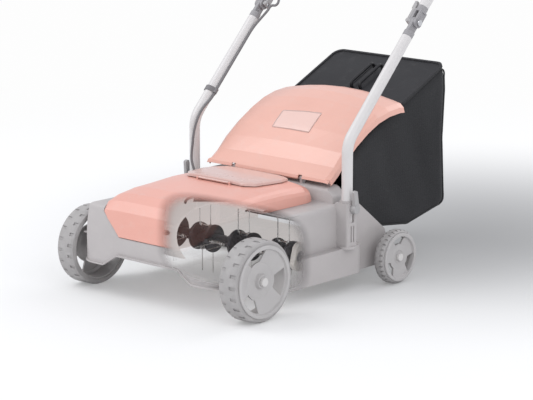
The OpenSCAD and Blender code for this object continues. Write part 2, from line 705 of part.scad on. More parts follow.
// Flanged pulley for the flat toothed belt
module pulley(y, z, r, bore, teeth) {
    difference() {
        union() {
            bar_x(pulley_x, pulley_x + belt_w + 3, y, z, r - 0.2);
            bar_x(pulley_x, pulley_x + 1.2, y, z, r + 2.4);
            bar_x(pulley_x + belt_w + 1.8, pulley_x + belt_w + 3, y, z, r + 2.4);
        }
        bar_x(pulley_x - 1, pulley_x + 20, y, z, bore);
        for (i = [0:teeth - 1]) translate([0, y, z]) rotate([i * 360 / teeth, 0, 0])
            bar_x(pulley_x + 1.2, pulley_x + belt_w + 1.8, r + 0.5, 0, 1.3, $fn = 16);
    }
}

module motor_pulley() {
    color(steel) place() pulley(motor_y, motor_z, motor_pulley_r, 4, 16);
}

module roller_pulley() {
    color(steel) place() pulley(roller_y, roller_z, roller_pulley_r, shaft_d / 2, 32);
}

// Belt round both pulleys, as two arcs and their tangents
belt_gap = 0.1;
module drive_belt() {
    d = [roller_y - motor_y, roller_z - motor_z];
    base = atan2(d[1], d[0]);
    tilt = acos((motor_pulley_r - roller_pulley_r) / norm(d));
    loop = function (o)
        concat(arc([motor_y, motor_z], motor_pulley_r + o, base + tilt, base + 360 - tilt, 20),
            arc([roller_y, roller_z], roller_pulley_r + o, base - tilt, base + tilt, 28));
    color(black) place() difference() {
        across(loop(belt_gap + belt_t), pulley_x + 1.5, pulley_x + 1.5 + belt_w);
        across(loop(belt_gap), pulley_x, pulley_x + belt_w + 3);
    }
}

// Hatch over the belt in the left side wall
function belt_hatch(o) = rounded([
    [118 - o, ledge_z + 8 - o, 10], [238 + 1.5 * o, ledge_z + 8 - o, 10], [216 + 1.2 * o, 160 + 0.9 * o, 14],
    [136 - 0.4 * o, 181 + 1.1 * o, 9], [118 - o, 174 + 1.1 * o, 7]]);
module belt_cover() {
    color(grey) place() difference() {
        across(belt_hatch(0), -deck_w / 2 - 2.8, -deck_w / 2 - gap);
        for (p = hatch_screws) bar_x(-deck_w / 2 - 4, -deck_w / 2, p[0], p[1], 2.1);
    }
}
hatch_screws = [[138, 116], [205, 116], [170, 167]];

// As many tine groups as the tunnel holds, and the middle of group i, with a drum at each odd one
groups = floor((wall_right - wall_left - 29) / tine_pitch);
last = groups - 1;
function group_x(i) = (i - last / 2) * tine_pitch;
drum_half = tine_half + 2.5 + cheek_t;
waist_half = tine_pitch - drum_half;
// The core reaches both walls' bearings
end_disc_x = wall_left + 13.5;
core_end = wall_right - 15.5;

// Plate with its three windows between hub and spring, standing up from the axis
module window_plate(x0, x1, w) {
    difference() {
        box([x0, -1.8, 0], [x1, 1.8, rod_r - curl_r - tine_wire / 2 - 0.5]);
        for (i = [0:w - 1]) box([x0 + 3 + i * (x1 - x0 - 4) / w, -3, hub_d / 2 + 1],
            [x0 + 1 + (i + 1) * (x1 - x0 - 4) / w, 3, rod_r - 7]);
    }
}

module roller_core() {
    color(black) place() translate([0, roller_y, roller_z]) difference() {
        union() {
            bar_x(end_disc_x - 4, core_end, 0, 0, hub_d / 2);
            for (i = [1:2:last]) translate([group_x(i), 0, 0]) {
                for (s = [-1, 1]) translate([s * (drum_half - cheek_t / 2), 0, 0]) rotate([0, 90, 0])
                    rotate_extrude() polygon(rounded([[0, -cheek_t / 2], [cheek_d / 2, -cheek_t / 2, 2],
                        [cheek_d / 2, cheek_t / 2, 2], [0, cheek_t / 2]], 3));
                window_plate(-drum_half + 1, drum_half - 1, 3);
                rotate([180, 0, 0]) window_plate(-drum_half + 1, drum_half - 1, 1);
            }
            for (i = [0:2:last]) translate([group_x(i), 0, 0]) for (a = [90, -90]) rotate([a, 0, 0])
                window_plate(-waist_half - 1, waist_half + 1, 3);
            // Waist lugs that hold the ends of the rods
            for (i = [0:2:last]) for (a = [90, -90]) for (s = [-1, 1]) translate([group_x(i), 0, 0])
                rotate([a, 0, 0])
                translate([s * (waist_half - 3), 0, 0]) box([-4, -3.4, 4], [4, 3.4, rod_r + 3.6]);
            translate([end_disc_x - 9, 0, 0]) rotate([0, 90, 0]) rotate_extrude() polygon(rounded([[0, 0],
                [end_disc_d / 2 - 8, 0, 3], [end_disc_d / 2, 4, 3], [end_disc_d / 2, 9, 3], [0, 9]], 4));
        }
        bar_x(end_disc_x - 20, core_end + 14, 0, 0, shaft_d / 2 + 0.05);
        for (i = [0:last]) rotate([i % 2 == 0 ? 90 : 0, 0, 0]) for (a = [0, 180]) rotate([a, 0, 0])
            bar_x(group_x(i) - rod_half(i), group_x(i) + rod_half(i), 0, rod_r, rod_d / 2 + 0.05);
        // Lightening pockets in the end disc
        for (a = [0:60:300]) rotate([a, 0, 0]) bar_x(end_disc_x - 10, end_disc_x - 4, 0,
            end_disc_d / 2 - 14, 6);
    }
}

module roller_shaft() {
    color(steel) place() bar_x(pulley_x - 2, wall_right - 3, roller_y, roller_z, shaft_d / 2);
}

// Rods that carry the springs, two to a group
rod_d = 2 * (curl_r - tine_wire / 2 - gap);
function rod_half(i) = i % 2 == 0 ? waist_half - 3 : tine_half + 6;
module spring_rods() {
    color(steel) place() translate([0, roller_y, roller_z]) for (i = [0:last])
        rotate([i % 2 == 0 ? 90 : 0, 0, 0])
        for (a = [0, 180]) rotate([a, 0, 0]) bar_x(group_x(i) - rod_half(i), group_x(i) + rod_half(i), 0,
            rod_r, rod_d / 2);
}

// One double spring: tine, coil, link, coil and tine as one wire
curl_pitch = tine_wire + curl_gap;
function half_spring() = concat(
    [for (z = [tine_r, 70, 58, 46, 36]) [tine_half, -curl_r, z - rod_r]],
    [for (i = [0:8 * curls + 4]) let (a = 180 - i * 45)
        [tine_half - curl_pitch * i / 8, curl_r * cos(a), curl_r * sin(a)]],
    [[tine_half - curl_pitch * (curls + 0.5) - 1.6, curl_r, 0]]);
function spring_path() = let (h = half_spring()) concat(h, [for (p = reversed(h)) [-p[0], p[1], p[2]]]);
// Least gap of a coil to itself, measured between points a curl or more apart
function coil_gap(p) = min([for (i = [5:len(p) - 6]) for (j = [i + 6:1:min(i + 12, len(p) - 6)])
    norm(p[i] - p[j])]) - tine_wire;
echo(least_gap_of_a_tine_spring = coil_gap(half_spring()));
module tine_springs() {
    color(steel) place() translate([0, roller_y, roller_z]) for (i = [0:last])
        rotate([i % 2 == 0 ? 90 : 0, 0, 0])
        for (a = [0, 180]) rotate([a, 0, 0]) translate([group_x(i), 0, rod_r])
            tube(spring_path(), tine_wire / 2, 6, [1, 0, 0]);
}

// Ball bearings at both ends of the roller
module ring_x(x0, x1, r0, r1) {
    difference() {
        bar_x(x0, x1, roller_y, roller_z, r1);
        bar_x(x0 - 1, x1 + 1, roller_y, roller_z, r0);
    }
}
module bearing(x) {
    ring_x(x, x + bearing_w, shaft_d / 2 + 0.02, shaft_d / 2 + 2.6);
    ring_x(x, x + bearing_w, bearing_d / 2 - 2.6, bearing_d / 2);
    ring_x(x + 1, x + bearing_w - 1, shaft_d / 2 + 2.6, bearing_d / 2 - 2.6);
}
bearing_left_x = wall_left - bearing_w / 2 - 1;
bearing_right_x = wall_right - bearing_w - 3;
module roller_bearings() {
    color(steel) place() {
        bearing(bearing_left_x);
        bearing(bearing_right_x);
    }
}

// Pale oval carrier of the right bearing
cap_half = 32;
module bearing_cap() {
    color("#f0eee8") place() difference() {
        translate([wall_right - 13.5, roller_y, roller_z]) rotate([-14, 0, 0]) rotate([0, 90, 0]) union() {
            for (s = [-1, 1]) translate([s * (cap_half - 19), 0, 0]) cylinder(h = 13.5 - gap, r = 19);
            translate([-cap_half + 19, -19, 0]) cube([2 * cap_half - 38, 38, 13.5 - gap]);
        }
        bar_x(bearing_right_x - gap, wall_right + 1, roller_y, roller_z, bearing_d / 2 + run);
        bar_x(wall_right - 20, wall_right, roller_y, roller_z, shaft_d / 2 + 1.5);
    }
}

// Swing axle: pivot bar, two arms and the stubs that carry the front wheels
stub_end = track_w / 2 - 3;
module arm_plate(x0, x1) {
    d = [front_axle_z - pivot_z, -pivot_y];
    bar_x(x0, x1, pivot_y, pivot_z, 11);
    bar_x(x0, x1, 0, front_axle_z, 10);
    across(strip([pivot_y, pivot_z - 8], [0, front_axle_z - 8], -16), x0, x1);
}
module swing_axle() {
    color(steel) place() {
        bar_x(lever_x, arm_x, pivot_y, pivot_z, pivot_d / 2);
        both_sides() {
            arm_plate(arm_x - 5, arm_x);
            bar_x(arm_x - 1, stub_end, 0, front_axle_z, front_axle_d / 2);
        }
    }
}

// Depth lever on the left end of the pivot bar
lever_x = -deck_w / 2 - 13;
module depth_lever() {
    color(black) place() difference() {
        union() {
            bar_x(lever_x, lever_x + 7, pivot_y, pivot_z, 12);
            translate([0, pivot_y, pivot_z]) rotate([-62, 0, 0]) {
                box([lever_x + 2, -5, 6], [lever_x + 7, 5, 108]);
                box([lever_x - 8, -7, 96], [lever_x + 7, 7, 128]);
                bar_x(lever_x - 8, lever_x + 7, 0, 128, 7);
            }
        }
        bar_x(lever_x - 1, lever_x + 8, pivot_y, pivot_z, pivot_d / 2);
    }
}

module rear_axle() {
    color(steel) place() bar_x(-stub_end, stub_end, wheelbase, rear_axle_z, rear_axle_d / 2);
}

// Push-on caps that keep the wheels on
module axle_cap(y, z, r) {
    difference() {
        bar_x(stub_end - 4, stub_end + 2.6, y, z, r + 3.5);
        bar_x(stub_end - 6, stub_end, y, z, r);
    }
}
module front_axle_caps() {
    color(steel) place() both_sides() axle_cap(0, front_axle_z, front_axle_d / 2);
}
module rear_axle_caps() {
    color(steel) place() both_sides() axle_cap(wheelbase, rear_axle_z, rear_axle_d / 2);
}

// Tyre on its band, with lugs cut into both shoulders; x runs outwards from the inner face
rim_lip = 4;
module tyre(d, w, t, lugs, notch) {
    r = d / 2;
    rotate([0, 90, 0]) difference() {
        rotate_extrude($fn = 72) polygon(rounded([[r - t, 0], [r - 3, 0, 2], [r, 6, 5],
            [r, w - rim_lip - 5, 5], [r - 4, w - rim_lip, 2], [r - t, w - rim_lip]], 3));
        for (i = [0:lugs - 1]) rotate([0, 0, i * 360 / lugs]) {
            translate([r - 2.4, -notch / 2, -1]) cube([10, notch, w * 0.3]);
            rotate([0, 0, 180 / lugs]) translate([r - 2.4, -notch / 2, w * 0.66 - rim_lip])
                cube([10, notch, w * 0.4]);
        }
    }
}

// Dished rim with three windows near its ring; turn places the first window
module rim(d, w, t, axle, turn_a, dish) {
    r = d / 2 - t;
    boss = axle / 2 + 8;
    rotate([0, 90, 0]) difference() {
        rotate_extrude($fn = 72) polygon([[axle / 2 + run, gap], [boss, gap], [boss, w - dish - 7],
            [r * 0.45, w - dish - 6], [r - 10, w - 10], [r - 4, w - 14], [r - 4, 2], [r - 0.15, 2],
            [r - 0.15, w - rim_lip + 0.2], [r + 1.5, w - rim_lip + 0.2], [r + 1.5, w - 1], [r, w],
                [r - 6, w], [r - 8, w - 5],
            [r * 0.5, w - dish], [boss + 3, w - dish + 1], [boss, w - 7.5], [axle / 2 + run, w - 7.5]]);
        for (i = [0:2]) rotate([0, 0, turn_a + i * 120])
            translate([0, 0, -1]) linear_extrude(w + 4) polygon(concat(
                arc([0, 0], r * 0.88, -27, 27, 8), reversed(arc([0, 0], r * 0.56, -18, 18, 5))));
    }
}

module front_tyre(s) {
    color(grey) place() on_side(s) translate([front_in, 0, front_axle_z])
        tyre(front_wheel_d, front_wheel_w, front_tyre_t, tyre_lugs, 7);
}
module front_rim(s) {
    color(pale) place() on_side(s) translate([front_in, 0, front_axle_z])
        rim(front_wheel_d, front_wheel_w, front_tyre_t, front_axle_d, -40, 16);
}
module rear_tyre(s) {
    color(grey) place() on_side(s) translate([rear_in, wheelbase, rear_axle_z])
        tyre(rear_wheel_d, rear_wheel_w, rear_tyre_t, 30, 3.4);
}
module rear_rim(s) {
    color(pale) place() on_side(s) translate([rear_in, wheelbase, rear_axle_z])
        rim(rear_wheel_d, rear_wheel_w, rear_tyre_t, rear_axle_d, -55, 7);
}

// Rear flap: a crowned shell with a rim along both sides
function flap_stations() = [
    [hinge_y - 7.4, hinge_z - 1, 0], [hinge_y - 6, hinge_z + 5, 0], [hinge_y + 1, hinge_z + 9, 0],
        [hinge_y + 26, hinge_z + 27, 0.1], [hinge_y + 54, hinge_z + 55, 0.28],
    [hinge_y + 92, hinge_z + 84, 0.5], [hinge_y + 134, hinge_z + 109, 0.72],
        [hinge_y + 172, hinge_z + 126, 0.88],
    [hinge_y + 210, hinge_z + 136, 1], [hinge_y + 250, hinge_z + 140, 1],
        [hinge_y + 264, hinge_z + 139, 0.98]];
function flap_x(i) = [1, 0.985, 0.94, 0.82, 0.6, 0.32, 0][i];
function rim_drop(s) = flap_rim * (s[0] < hinge_y ? 0.1 : 1);
function flap_drop(i) = [-1, -0.35, 0, 0, 0, 0, 0][i];
function flap_row(s) = [for (k = [-6:6]) let (i = 6 - abs(k), u = flap_x(i))
    [sign(k) * u * flap_half * (1 - 0.03 * s[2]), s[0],
        s[1] + flap_crown * s[2] * (1 - u * u) + flap_drop(i) * rim_drop(s)]];
module rear_flap() {
    color(pink) place() union() {
        difference() {
            shell([for (s = flap_stations()) flap_row(s)], flap_t);
            // Notches for the deck's ears in the front lip
            both_sides() box([ear_x - 2, hinge_y - 14, hinge_z - 8],
                [ear_x + 10, hinge_y + 0.4, hinge_z + 7.6]);
        }
        difference() {
            for (x = [-66, 66]) {
                bar_x(x - 22, x + 22, hinge_y, hinge_z, flap_rod_d / 2 + 2.6);
                across([[hinge_y - 1, hinge_z + 4], [hinge_y + 4, hinge_z + 1], [hinge_y + 14, hinge_z + 21],
                    [hinge_y + 5, hinge_z + 14]], x - 22, x + 22);
            }
            bar_x(-200, 200, hinge_y, hinge_z, flap_rod_d / 2 + run);
        }
    }
}

module flap_rod() {
    color(steel) place() bar_x(-ear_x - 14, ear_x + 14, hinge_y, hinge_z, flap_rod_d / 2);
}

// Side outline of the bag, drawn in by t
function bag_side(t) = rounded([
    [mouth_y + 52, bag_mouth_z - t], [462, 320 - t, 30], [520, 346 - t, 30], [578 - t / 3, 374 - t, 10],
        [bag_y - 6 - t, bag_z - t - 4, 12],
    [bag_y - 3 - t, bag_z - 60, 40], [bag_y - 9 - t, 280, 60], [bag_y - t, 124 + t, 16], [620, 92 + t, 40],
    [500, bag_floor_z + t, 20], [mouth_y + 62, bag_floor_z + t]]);
module bag_fabric() {
    w = bag_w / 2;
    color(black) place() difference() {
        intersection() {
            across(bag_side(0), -w, w);
            upright(rounded([[-w, 300], [w, 300], [w, bag_y + 4, 24], [-w, bag_y + 4, 24]]), 0, 600);
        }
        intersection() {
            across(bag_side(bag_t), -w + bag_t, w - bag_t);
            upright(rounded([[-w + bag_t, 300], [w - bag_t, 300], [w - bag_t, bag_y + 4 - bag_t, 22],
                [-w + bag_t, bag_y + 4 - bag_t, 22]]), 0, 600);
        }
        across([[mouth_y, bag_floor_z + bag_t], [mouth_y + 66, bag_floor_z + bag_t],
            [mouth_y + 56, bag_mouth_z - bag_t], [mouth_y, bag_mouth_z - bag_t]],
            -w + bag_t, w - bag_t);
    }
}

// Hard top panel with its rim, on the sloping top of the bag
panel_a = atan2(bag_z - 4 - 374, bag_y - 6 - 578);
panel_l = norm([bag_z - 4 - 374, bag_y - 6 - 578]);
module panel_frame() {
    translate([0, 578, 374]) rotate([panel_a, 0, 0]) children();
}
module bag_top_panel() {
    w = bag_w / 2 + 1;
    color(black) place() panel_frame() difference() {
        union() {
            upright(rounded([[-w, 8, 16], [w, 8, 16], [w, panel_l + 2, 24], [-w, panel_l + 2, 24]]), gap,
                gap + panel_t);
            difference() {
                upright(rounded([[-w, 8, 16], [w, 8, 16], [w, panel_l + 2, 24], [-w, panel_l + 2, 24]]),
                    gap, gap + panel_t + 2);
                upright(rounded([[-w + 6, 14, 12], [w - 6, 14, 12], [w - 6, panel_l - 4, 20],
                    [-w + 6, panel_l - 4, 20]]), 0, 20);
            }
        }
        upright(rounded([[-20, grip_y0, 8], [20, grip_y0, 8], [20, grip_y0 + 106, 8],
            [-20, grip_y0 + 106, 8]]), gap + panel_t - 1.2, 20);
    }
}
grip_y0 = 46;

// Carrying grip: a loop raised over its recess
module bag_grip() {
    r = 4;
    color(black) place() panel_frame() translate([0, grip_y0 + 8, panel_t - 0.6])
        for (x = [-13, 13]) translate([x, 0, 0]) rotate([90, 0, 90])
            wire([[0, 0], [0, 13], [90, 13], [90, 0]], r, 9);
}

// Wire frame round the bag's mouth
module bag_frame() {
    w = bag_w / 2 - bag_t - bag_wire_d / 2 - gap;
    r = bag_wire_d / 2;
    low = bag_floor_z + bag_t + r + gap;
    tall = bag_mouth_z - bag_t - r - low - 4;
    color(steel) place() translate([0, mouth_y + 66, low]) rotate([90 + 3.4, 0, 0])
        wire([[0, 0], [w, 0], [w, tall], [-w, tall], [-w, 0], [0, 0]], r, 12);
}

// Leg of the handle from its foot to the fold joint
fold_s = 42;
module bent_leg(r, past = 0) {
    l = lower_l - fold_s + past;
    translate([leg_x, 0, 0]) rotate([90, 0, 90])
        wire([[handle_y, socket_floor + gap - past], [handle_y, bend_z],
        [handle_y + l * sin(lean), bend_z + l * cos(lean)]], r, bend_r);
}
module handle_tube(s) {
    color(pale) place() on_side(s) difference() {
        bent_leg(tube_r);
        bent_leg(tube_r - tube_wall, 2);
        bar_x(leg_x - 30, leg_x + 30, handle_y, clamp_z, bolt_d / 2 + 0.1);
    }
}

// Bolts through the feet, screwed into the side walls
foot_bolt_in = 18;
module foot_bolts() {
    color(steel) place() both_sides() bar_x(leg_x - foot_bolt_in, leg_x + socket_out + 9, handle_y,
        clamp_z, bolt_d / 2);
}

// Clamp lever on a foot bolt: a round hub and one long wing
module foot_clamp(s) {
    x0 = leg_x + socket_out + gap;
    color(grey) place() on_side(s) difference() {
        union() {
            bar_x(x0, x0 + 13, handle_y, clamp_z, 10);
            across(rounded([[handle_y - 6, clamp_z], [handle_y - 9, clamp_z + 40, 4],
                [handle_y + 2, clamp_z + 44, 4],
                [handle_y + 9, clamp_z]], 4), x0 + 4, x0 + 12);
        }
        bar_x(x0 - 1, leg_x + socket_out + 9 + gap, handle_y, clamp_z, bolt_d / 2 + run);
    }
}

// Fold joint: a tongue in each lower tube and a fork in each upper tube
tongue_t = 8;
fork_t = 6;
module plug(h) {
    cylinder(h = h, r = tube_r - tube_wall - 0.1);
}
module fold_tongues() {
    color(black) place() both_sides() difference() {
        union() {
            upper_frame() translate([leg_x, 0, 0]) {
                translate([0, 0, -fold_s - 30]) plug(31);
                translate([0, 0, -fold_s + gap]) cylinder(h = 14, r = tube_r);
                translate([-tongue_t / 2, -tube_r + 1, -fold_s + 10])
                    cube([tongue_t, 2 * tube_r - 2, fold_s - 10]);
                bar_x(-tongue_t / 2, tongue_t / 2, 0, 0, tube_r);
            }
        }
        bar_x(leg_x - 20, leg_x + 20, fold_y, fold_z, bolt_d / 2 + run);
    }
}
module fold_forks() {
    x0 = tongue_t / 2 + gap;
    color(black) place() both_sides() difference() {
        union() {
            upper_frame() translate([leg_x, 0, 0]) {
                translate([0, 0, fold_s - 1]) plug(31);
                translate([0, 0, fold_s - 16]) cylinder(h = 16 - gap, r = tube_r);
                for (s = [-1, 1]) {
                    translate([s * (x0 + fork_t / 2) - fork_t / 2, -tube_r + 1, 0])
                        cube([fork_t, 2 * tube_r - 2, fold_s - 10]);
                    bar_x(s * x0, s * (x0 + fork_t), 0, 0, tube_r);
                }
            }
        }
        bar_x(leg_x - 30, leg_x + 30, fold_y, fold_z, bolt_d / 2 + run);
        upper_frame() translate([leg_x - x0, -30, -30]) cube([2 * x0, 60, 30 + fold_s - 18]);
    }
}
fold_in = tongue_t / 2 + 2 * gap + fork_t;
module fold_bolts() {
    color(steel) place() both_sides() {
        bar_x(leg_x - fold_in - 9, leg_x + fold_in + 5, fold_y, fold_z, bolt_d / 2);
        bar_x(leg_x + fold_in, leg_x + fold_in + 5, fold_y, fold_z, bolt_d / 2 + 3);
    }
}

// Cam lever at the inner end of a fold bolt
cam_x = leg_x - fold_in - 6;
module fold_lever(s) {
    color(grey) place() on_side(s) upper_frame() difference() {
        union() {
            translate([cam_x, 9, 0]) rotate([90, 0, 0]) cylinder(h = 18, r = 5.7);
            translate([cam_x - 5, -7, 0]) cube([7, 14, 46]);
            translate([cam_x - 8, -7, 34]) cube([7, 14, 20]);
        }
        translate([cam_x - 20, 0, 0]) rotate([0, 90, 0]) cylinder(h = 40, r = bolt_d / 2 + 0.3);
    }
}

// Upper handle bent from one tube
module upper_bow(r, past) {
    foot = fold_s - past;
    rotate([90, 0, 0]) wire([[-leg_x, foot], [-leg_x, upper_l], [leg_x, upper_l], [leg_x, foot]], r, upper_r);
}
module upper_handle() {
    color(pale) place() upper_frame() difference() {
        upper_bow(tube_r, 0);
        upper_bow(tube_r - tube_wall, 2);
        // Hole that takes the bail's right end
        translate([leg_x - 30, 0, upper_l - bail_back]) rotate([0, 90, 0])
            cylinder(h = 26, r = bail_d / 2 + run);
    }
}

grip_x0 = -58;
grip_x1 = leg_x - upper_r - 6;
module foam_grip() {
    color(black) place() upper_frame() translate([0, 0, upper_l]) rotate([0, 90, 0]) difference() {
        translate([0, 0, grip_x0]) cylinder(h = grip_x1 - grip_x0, r = grip_d / 2);
        translate([0, 0, grip_x0 - 1]) cylinder(h = grip_x1 - grip_x0 + 2, r = tube_r + 0.1);
    }
}

// Switch box clamped round the crossbar, left of the middle
box_x0 = -146;
box_x1 = -66;
module switch_box() {
    color(black) place() upper_frame() difference() {
        translate([box_x0, 0, upper_l]) rotate([90, 0, 90]) linear_extrude(box_x1 - box_x0)
            polygon(box_outline());
        translate([box_x0 - 1, 0, upper_l]) rotate([0, 90, 0]) cylinder(h = 90, r = tube_r + 0.1);
        // Well of the lock button
        translate([box_x0 + 44, -button_floor, upper_l - 32]) rotate([90, 0, 0])
            cylinder(h = 30, r = button_r + run);
        // Slot that takes the bail's end
        translate([box_x0 - 1, 0, upper_l - bail_back]) rotate([0, 90, 0])
            cylinder(h = 14, r = bail_d / 2 + run);
    }
}
button_r = 8;
button_floor = 13;
button_travel = 4;
module lock_button() {
    color("#c9543f") place() upper_frame() translate([box_x0 + 44, -button_floor - button_travel - gap,
        upper_l - 32])
        rotate([90, 0, 0]) rotate_extrude() polygon(rounded([[0, 0], [button_r, 0], [button_r, 10, 2],
            [0, 10]], 4));
}

// Bail bar that is pulled to the crossbar to run the motor
bail_back = 34;
bail_out = 50;
bail_rest = 70;
bail_x0 = box_x0 + 12;
bail_x1 = leg_x - tube_r - 24;
module bail_bar() {
    near = box_x0 - 9;
    color(steel) place() upper_frame() translate([0, 0, upper_l - bail_back]) rotate([90 + bail_rest, 0, 0]) {
        wire([[bail_x0, 0], [near, 0], [near, bail_out], [bail_x1, bail_out], [bail_x1, 0],
            [leg_x - tube_r + 1, 0]],
            bail_d / 2, 8);
    }
}

// Switch cable from the controller up the left leg, in two runs that meet end to end on the fold joint's axis
cable_off = tube_r + cable_d / 2 + gap;
lower_route = [
    [60, 75, 147], [60, 84, 147], [56, 96, 149], [44, 110, 154], [26, 122, 160], [0, 129, 165],
        [-30, 131, 169],
    [-62, 131, 173], [-84, 135, 179], [-97, 144, 185], [-104, 158, 189], [-107, 175, 190], [-109, 195, 190.5],
    [-113, 213, 190.5], [-122, 228, 190], [-138, 237, 190], [-158, 240, 190], [-180, 240, 190],
        [-196, 240, 190],
    [-203, 244, 190], [-205, 255, 190], [-205, 271, 190], [-205, 282, 191], [-205, 287, 196],
        [-205, 288, 206],
    [-206, 288, 216], [-210, 287, 229], [-216, 288, 244], [-219, 291, 262], [-219, 294, 282],
        [-219, 297, 302],
    [-219, 303, 322], [-219, 313, 342], [-219, 327, 360]];
function along_leg(x, d) = [x, handle_y + d * sin(lean), bend_z + d * cos(lean)];
meet_r = 7;
meet_x = -leg_x + cable_off + 15 + meet_r;
module switch_cable_lower() {
    run_up = [for (d = [60:22:lower_l - 90]) along_leg(-leg_x + cable_off, d)];
    bow = [for (b = [[70, 1], [54, 4], [40, 8], [26, 12], [14, 14.6]])
        along_leg(-leg_x + cable_off + b[1], lower_l - b[0])];
    turn = [for (a = [0:22.5:90]) along_leg(meet_x - meet_r * cos(a), lower_l - meet_r * (1 - sin(a)))];
    end = [along_leg(meet_x + 1.4, lower_l)];
    color(black) place() tube(concat(lower_route, run_up, bow, turn, end), cable_d / 2, 8, [0, 0, 1]);
}
module switch_cable_upper() {
    start = [along_leg(meet_x + 1.4 + gap, lower_l)];
    turn = [for (a = [0:22.5:90]) along_leg(meet_x + 3.1 + meet_r * sin(a), lower_l + meet_r * (1 - cos(a)))];
    bow = [for (b = [[13, 31], [20, 28], [27, 23.5], [34, 19.4], [42, 16.4], [50, 14.4], [58, 11],
        [67, 5.5], [76, 1.4], [86, 0]])
        along_leg(-leg_x + cable_off + b[1], lower_l + b[0])];
    run_up = [for (d = [110:30:upper_l - 100]) along_leg(-leg_x + cable_off, lower_l + d)];
    into_box = [for (b = [[97, 1], [87, 5], [79, 14], [73, 28], [69, 46], [66, 64], [63, 80], [60, 91],
        [57, 97], [54.5, 98], [52.4, 98]])
        along_leg(-leg_x + cable_off + b[1], lower_l + upper_l - b[0])];
    color(black) place() tube(concat(start, turn, bow, run_up, into_box), cable_d / 2, 8, [0, 0, 1]);
}

// Leads from the tray to the controller and on to the motor
module power_leads() {
    color(black) place() {
        tube([[30, 149, 192], [32, 143, 191], [38, 134, 186], [48, 122, 176], [60, 108, 163],
            [74, 94, 153], [85, 82, 148],
            [87, 75, 147.5]], 2.4, 8, [1, 0, 0]);
        tube([[19.5, 40, 147], [12, 40, 147], [6, 42, 147.5], [2, 49, 150], [0, 57, 156], [-3, 63, 161],
            [-8, 65, 163], [-12.6, 65, 163]], 2.4, 8, [0, 1, 0]);
    }
}

// Clips that hold the cable to the tubes
module clip(z) {
    difference() {
        union() {
            translate([-leg_x, 0, z]) cylinder(h = 12, r = tube_r + 2.4);
            translate([-leg_x + cable_off, 0, z]) cylinder(h = 12, r = cable_d / 2 + 2.2);
        }
        translate([-leg_x, 0, z - 1]) cylinder(h = 14, r = tube_r + 0.1);
        translate([-leg_x + cable_off, 0, z - 1]) cylinder(h = 14, r = cable_d / 2 + 0.1);
    }
}
module cable_clips_lower() {
    color(black) place() slope_frame() clip(74);
}
module cable_clips_upper() {
    color(black) place() upper_frame() for (z = [90, 300]) clip(z);
}

// Screws of the belt hatch
module deck_screws() {
    color(steel) place() for (p = hatch_screws) difference() {
        union() {
            bar_x(-deck_w / 2 - 4.6, -deck_w / 2 - 2.85, p[0], p[1], 4);
            bar_x(-deck_w / 2 - 3, -deck_w / 2 + wall, p[0], p[1], 2);
        }
        box([-deck_w / 2 - 5, p[0] - 3, p[1] - 0.5], [-deck_w / 2 - 3.8, p[0] + 3, p[1] + 0.5]);
    }
}

deck();
hood();
battery_lid();
lid_pin();
battery_packs();
battery_tray();
controller();
motor();
motor_shaft();
motor_pulley();
drive_belt();
roller_pulley();
belt_cover();
roller_core();
roller_shaft();
spring_rods();
tine_springs();
roller_bearings();
bearing_cap();
swing_axle();
depth_lever();
rear_axle();
front_axle_caps();
rear_axle_caps();
front_tyre(-1);  // front_tyre_left
front_tyre(1);  // front_tyre_right
front_rim(-1);  // front_rim_left
front_rim(1);  // front_rim_right
rear_tyre(-1);  // rear_tyre_left
rear_tyre(1);  // rear_tyre_right
rear_rim(-1);  // rear_rim_left
rear_rim(1);  // rear_rim_right
rear_flap();
flap_rod();
bag_fabric();
bag_top_panel();
bag_frame();
bag_grip();
handle_tube(-1);  // handle_tube_left
handle_tube(1);  // handle_tube_right
foot_bolts();
foot_clamp(-1);  // foot_clamp_left
foot_clamp(1);  // foot_clamp_right
fold_tongues();
fold_forks();
fold_bolts();
fold_lever(-1);  // fold_lever_left
fold_lever(1);  // fold_lever_right
upper_handle();
foam_grip();
switch_box();
lock_button();
bail_bar();
switch_cable_lower();
switch_cable_upper();
power_leads();
cable_clips_lower();
cable_clips_upper();
deck_screws();
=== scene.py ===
"""Cordless lawn scarifier: finishes, soft pieces, floor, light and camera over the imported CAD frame."""
import json
import logging
import math
from dataclasses import dataclass
from enum import Enum
from typing import Optional, Sequence

import bmesh
import bpy
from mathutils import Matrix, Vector
from mathutils.bvhtree import BVHTree


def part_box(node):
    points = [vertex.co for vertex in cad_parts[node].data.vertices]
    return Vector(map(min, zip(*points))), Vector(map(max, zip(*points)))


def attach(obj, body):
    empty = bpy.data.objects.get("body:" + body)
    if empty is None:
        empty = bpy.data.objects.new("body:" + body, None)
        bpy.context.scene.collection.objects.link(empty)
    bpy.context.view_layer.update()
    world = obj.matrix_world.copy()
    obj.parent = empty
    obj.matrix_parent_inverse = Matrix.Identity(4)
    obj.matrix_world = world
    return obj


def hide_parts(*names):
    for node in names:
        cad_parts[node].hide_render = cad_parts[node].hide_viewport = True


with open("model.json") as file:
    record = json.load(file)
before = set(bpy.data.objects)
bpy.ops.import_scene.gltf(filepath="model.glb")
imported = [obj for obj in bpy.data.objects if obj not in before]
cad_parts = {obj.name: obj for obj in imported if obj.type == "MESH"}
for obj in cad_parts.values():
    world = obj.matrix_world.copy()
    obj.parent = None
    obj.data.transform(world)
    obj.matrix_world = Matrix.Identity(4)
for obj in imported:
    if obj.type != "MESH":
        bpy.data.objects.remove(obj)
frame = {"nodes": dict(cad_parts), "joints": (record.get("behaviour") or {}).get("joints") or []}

log = logging.getLogger("scarifier")
logging.basicConfig(level=logging.INFO, format="%(message)s")

Colour = tuple[float, float, float]
Point = tuple[float, float, float]
Pair = tuple[float, float]

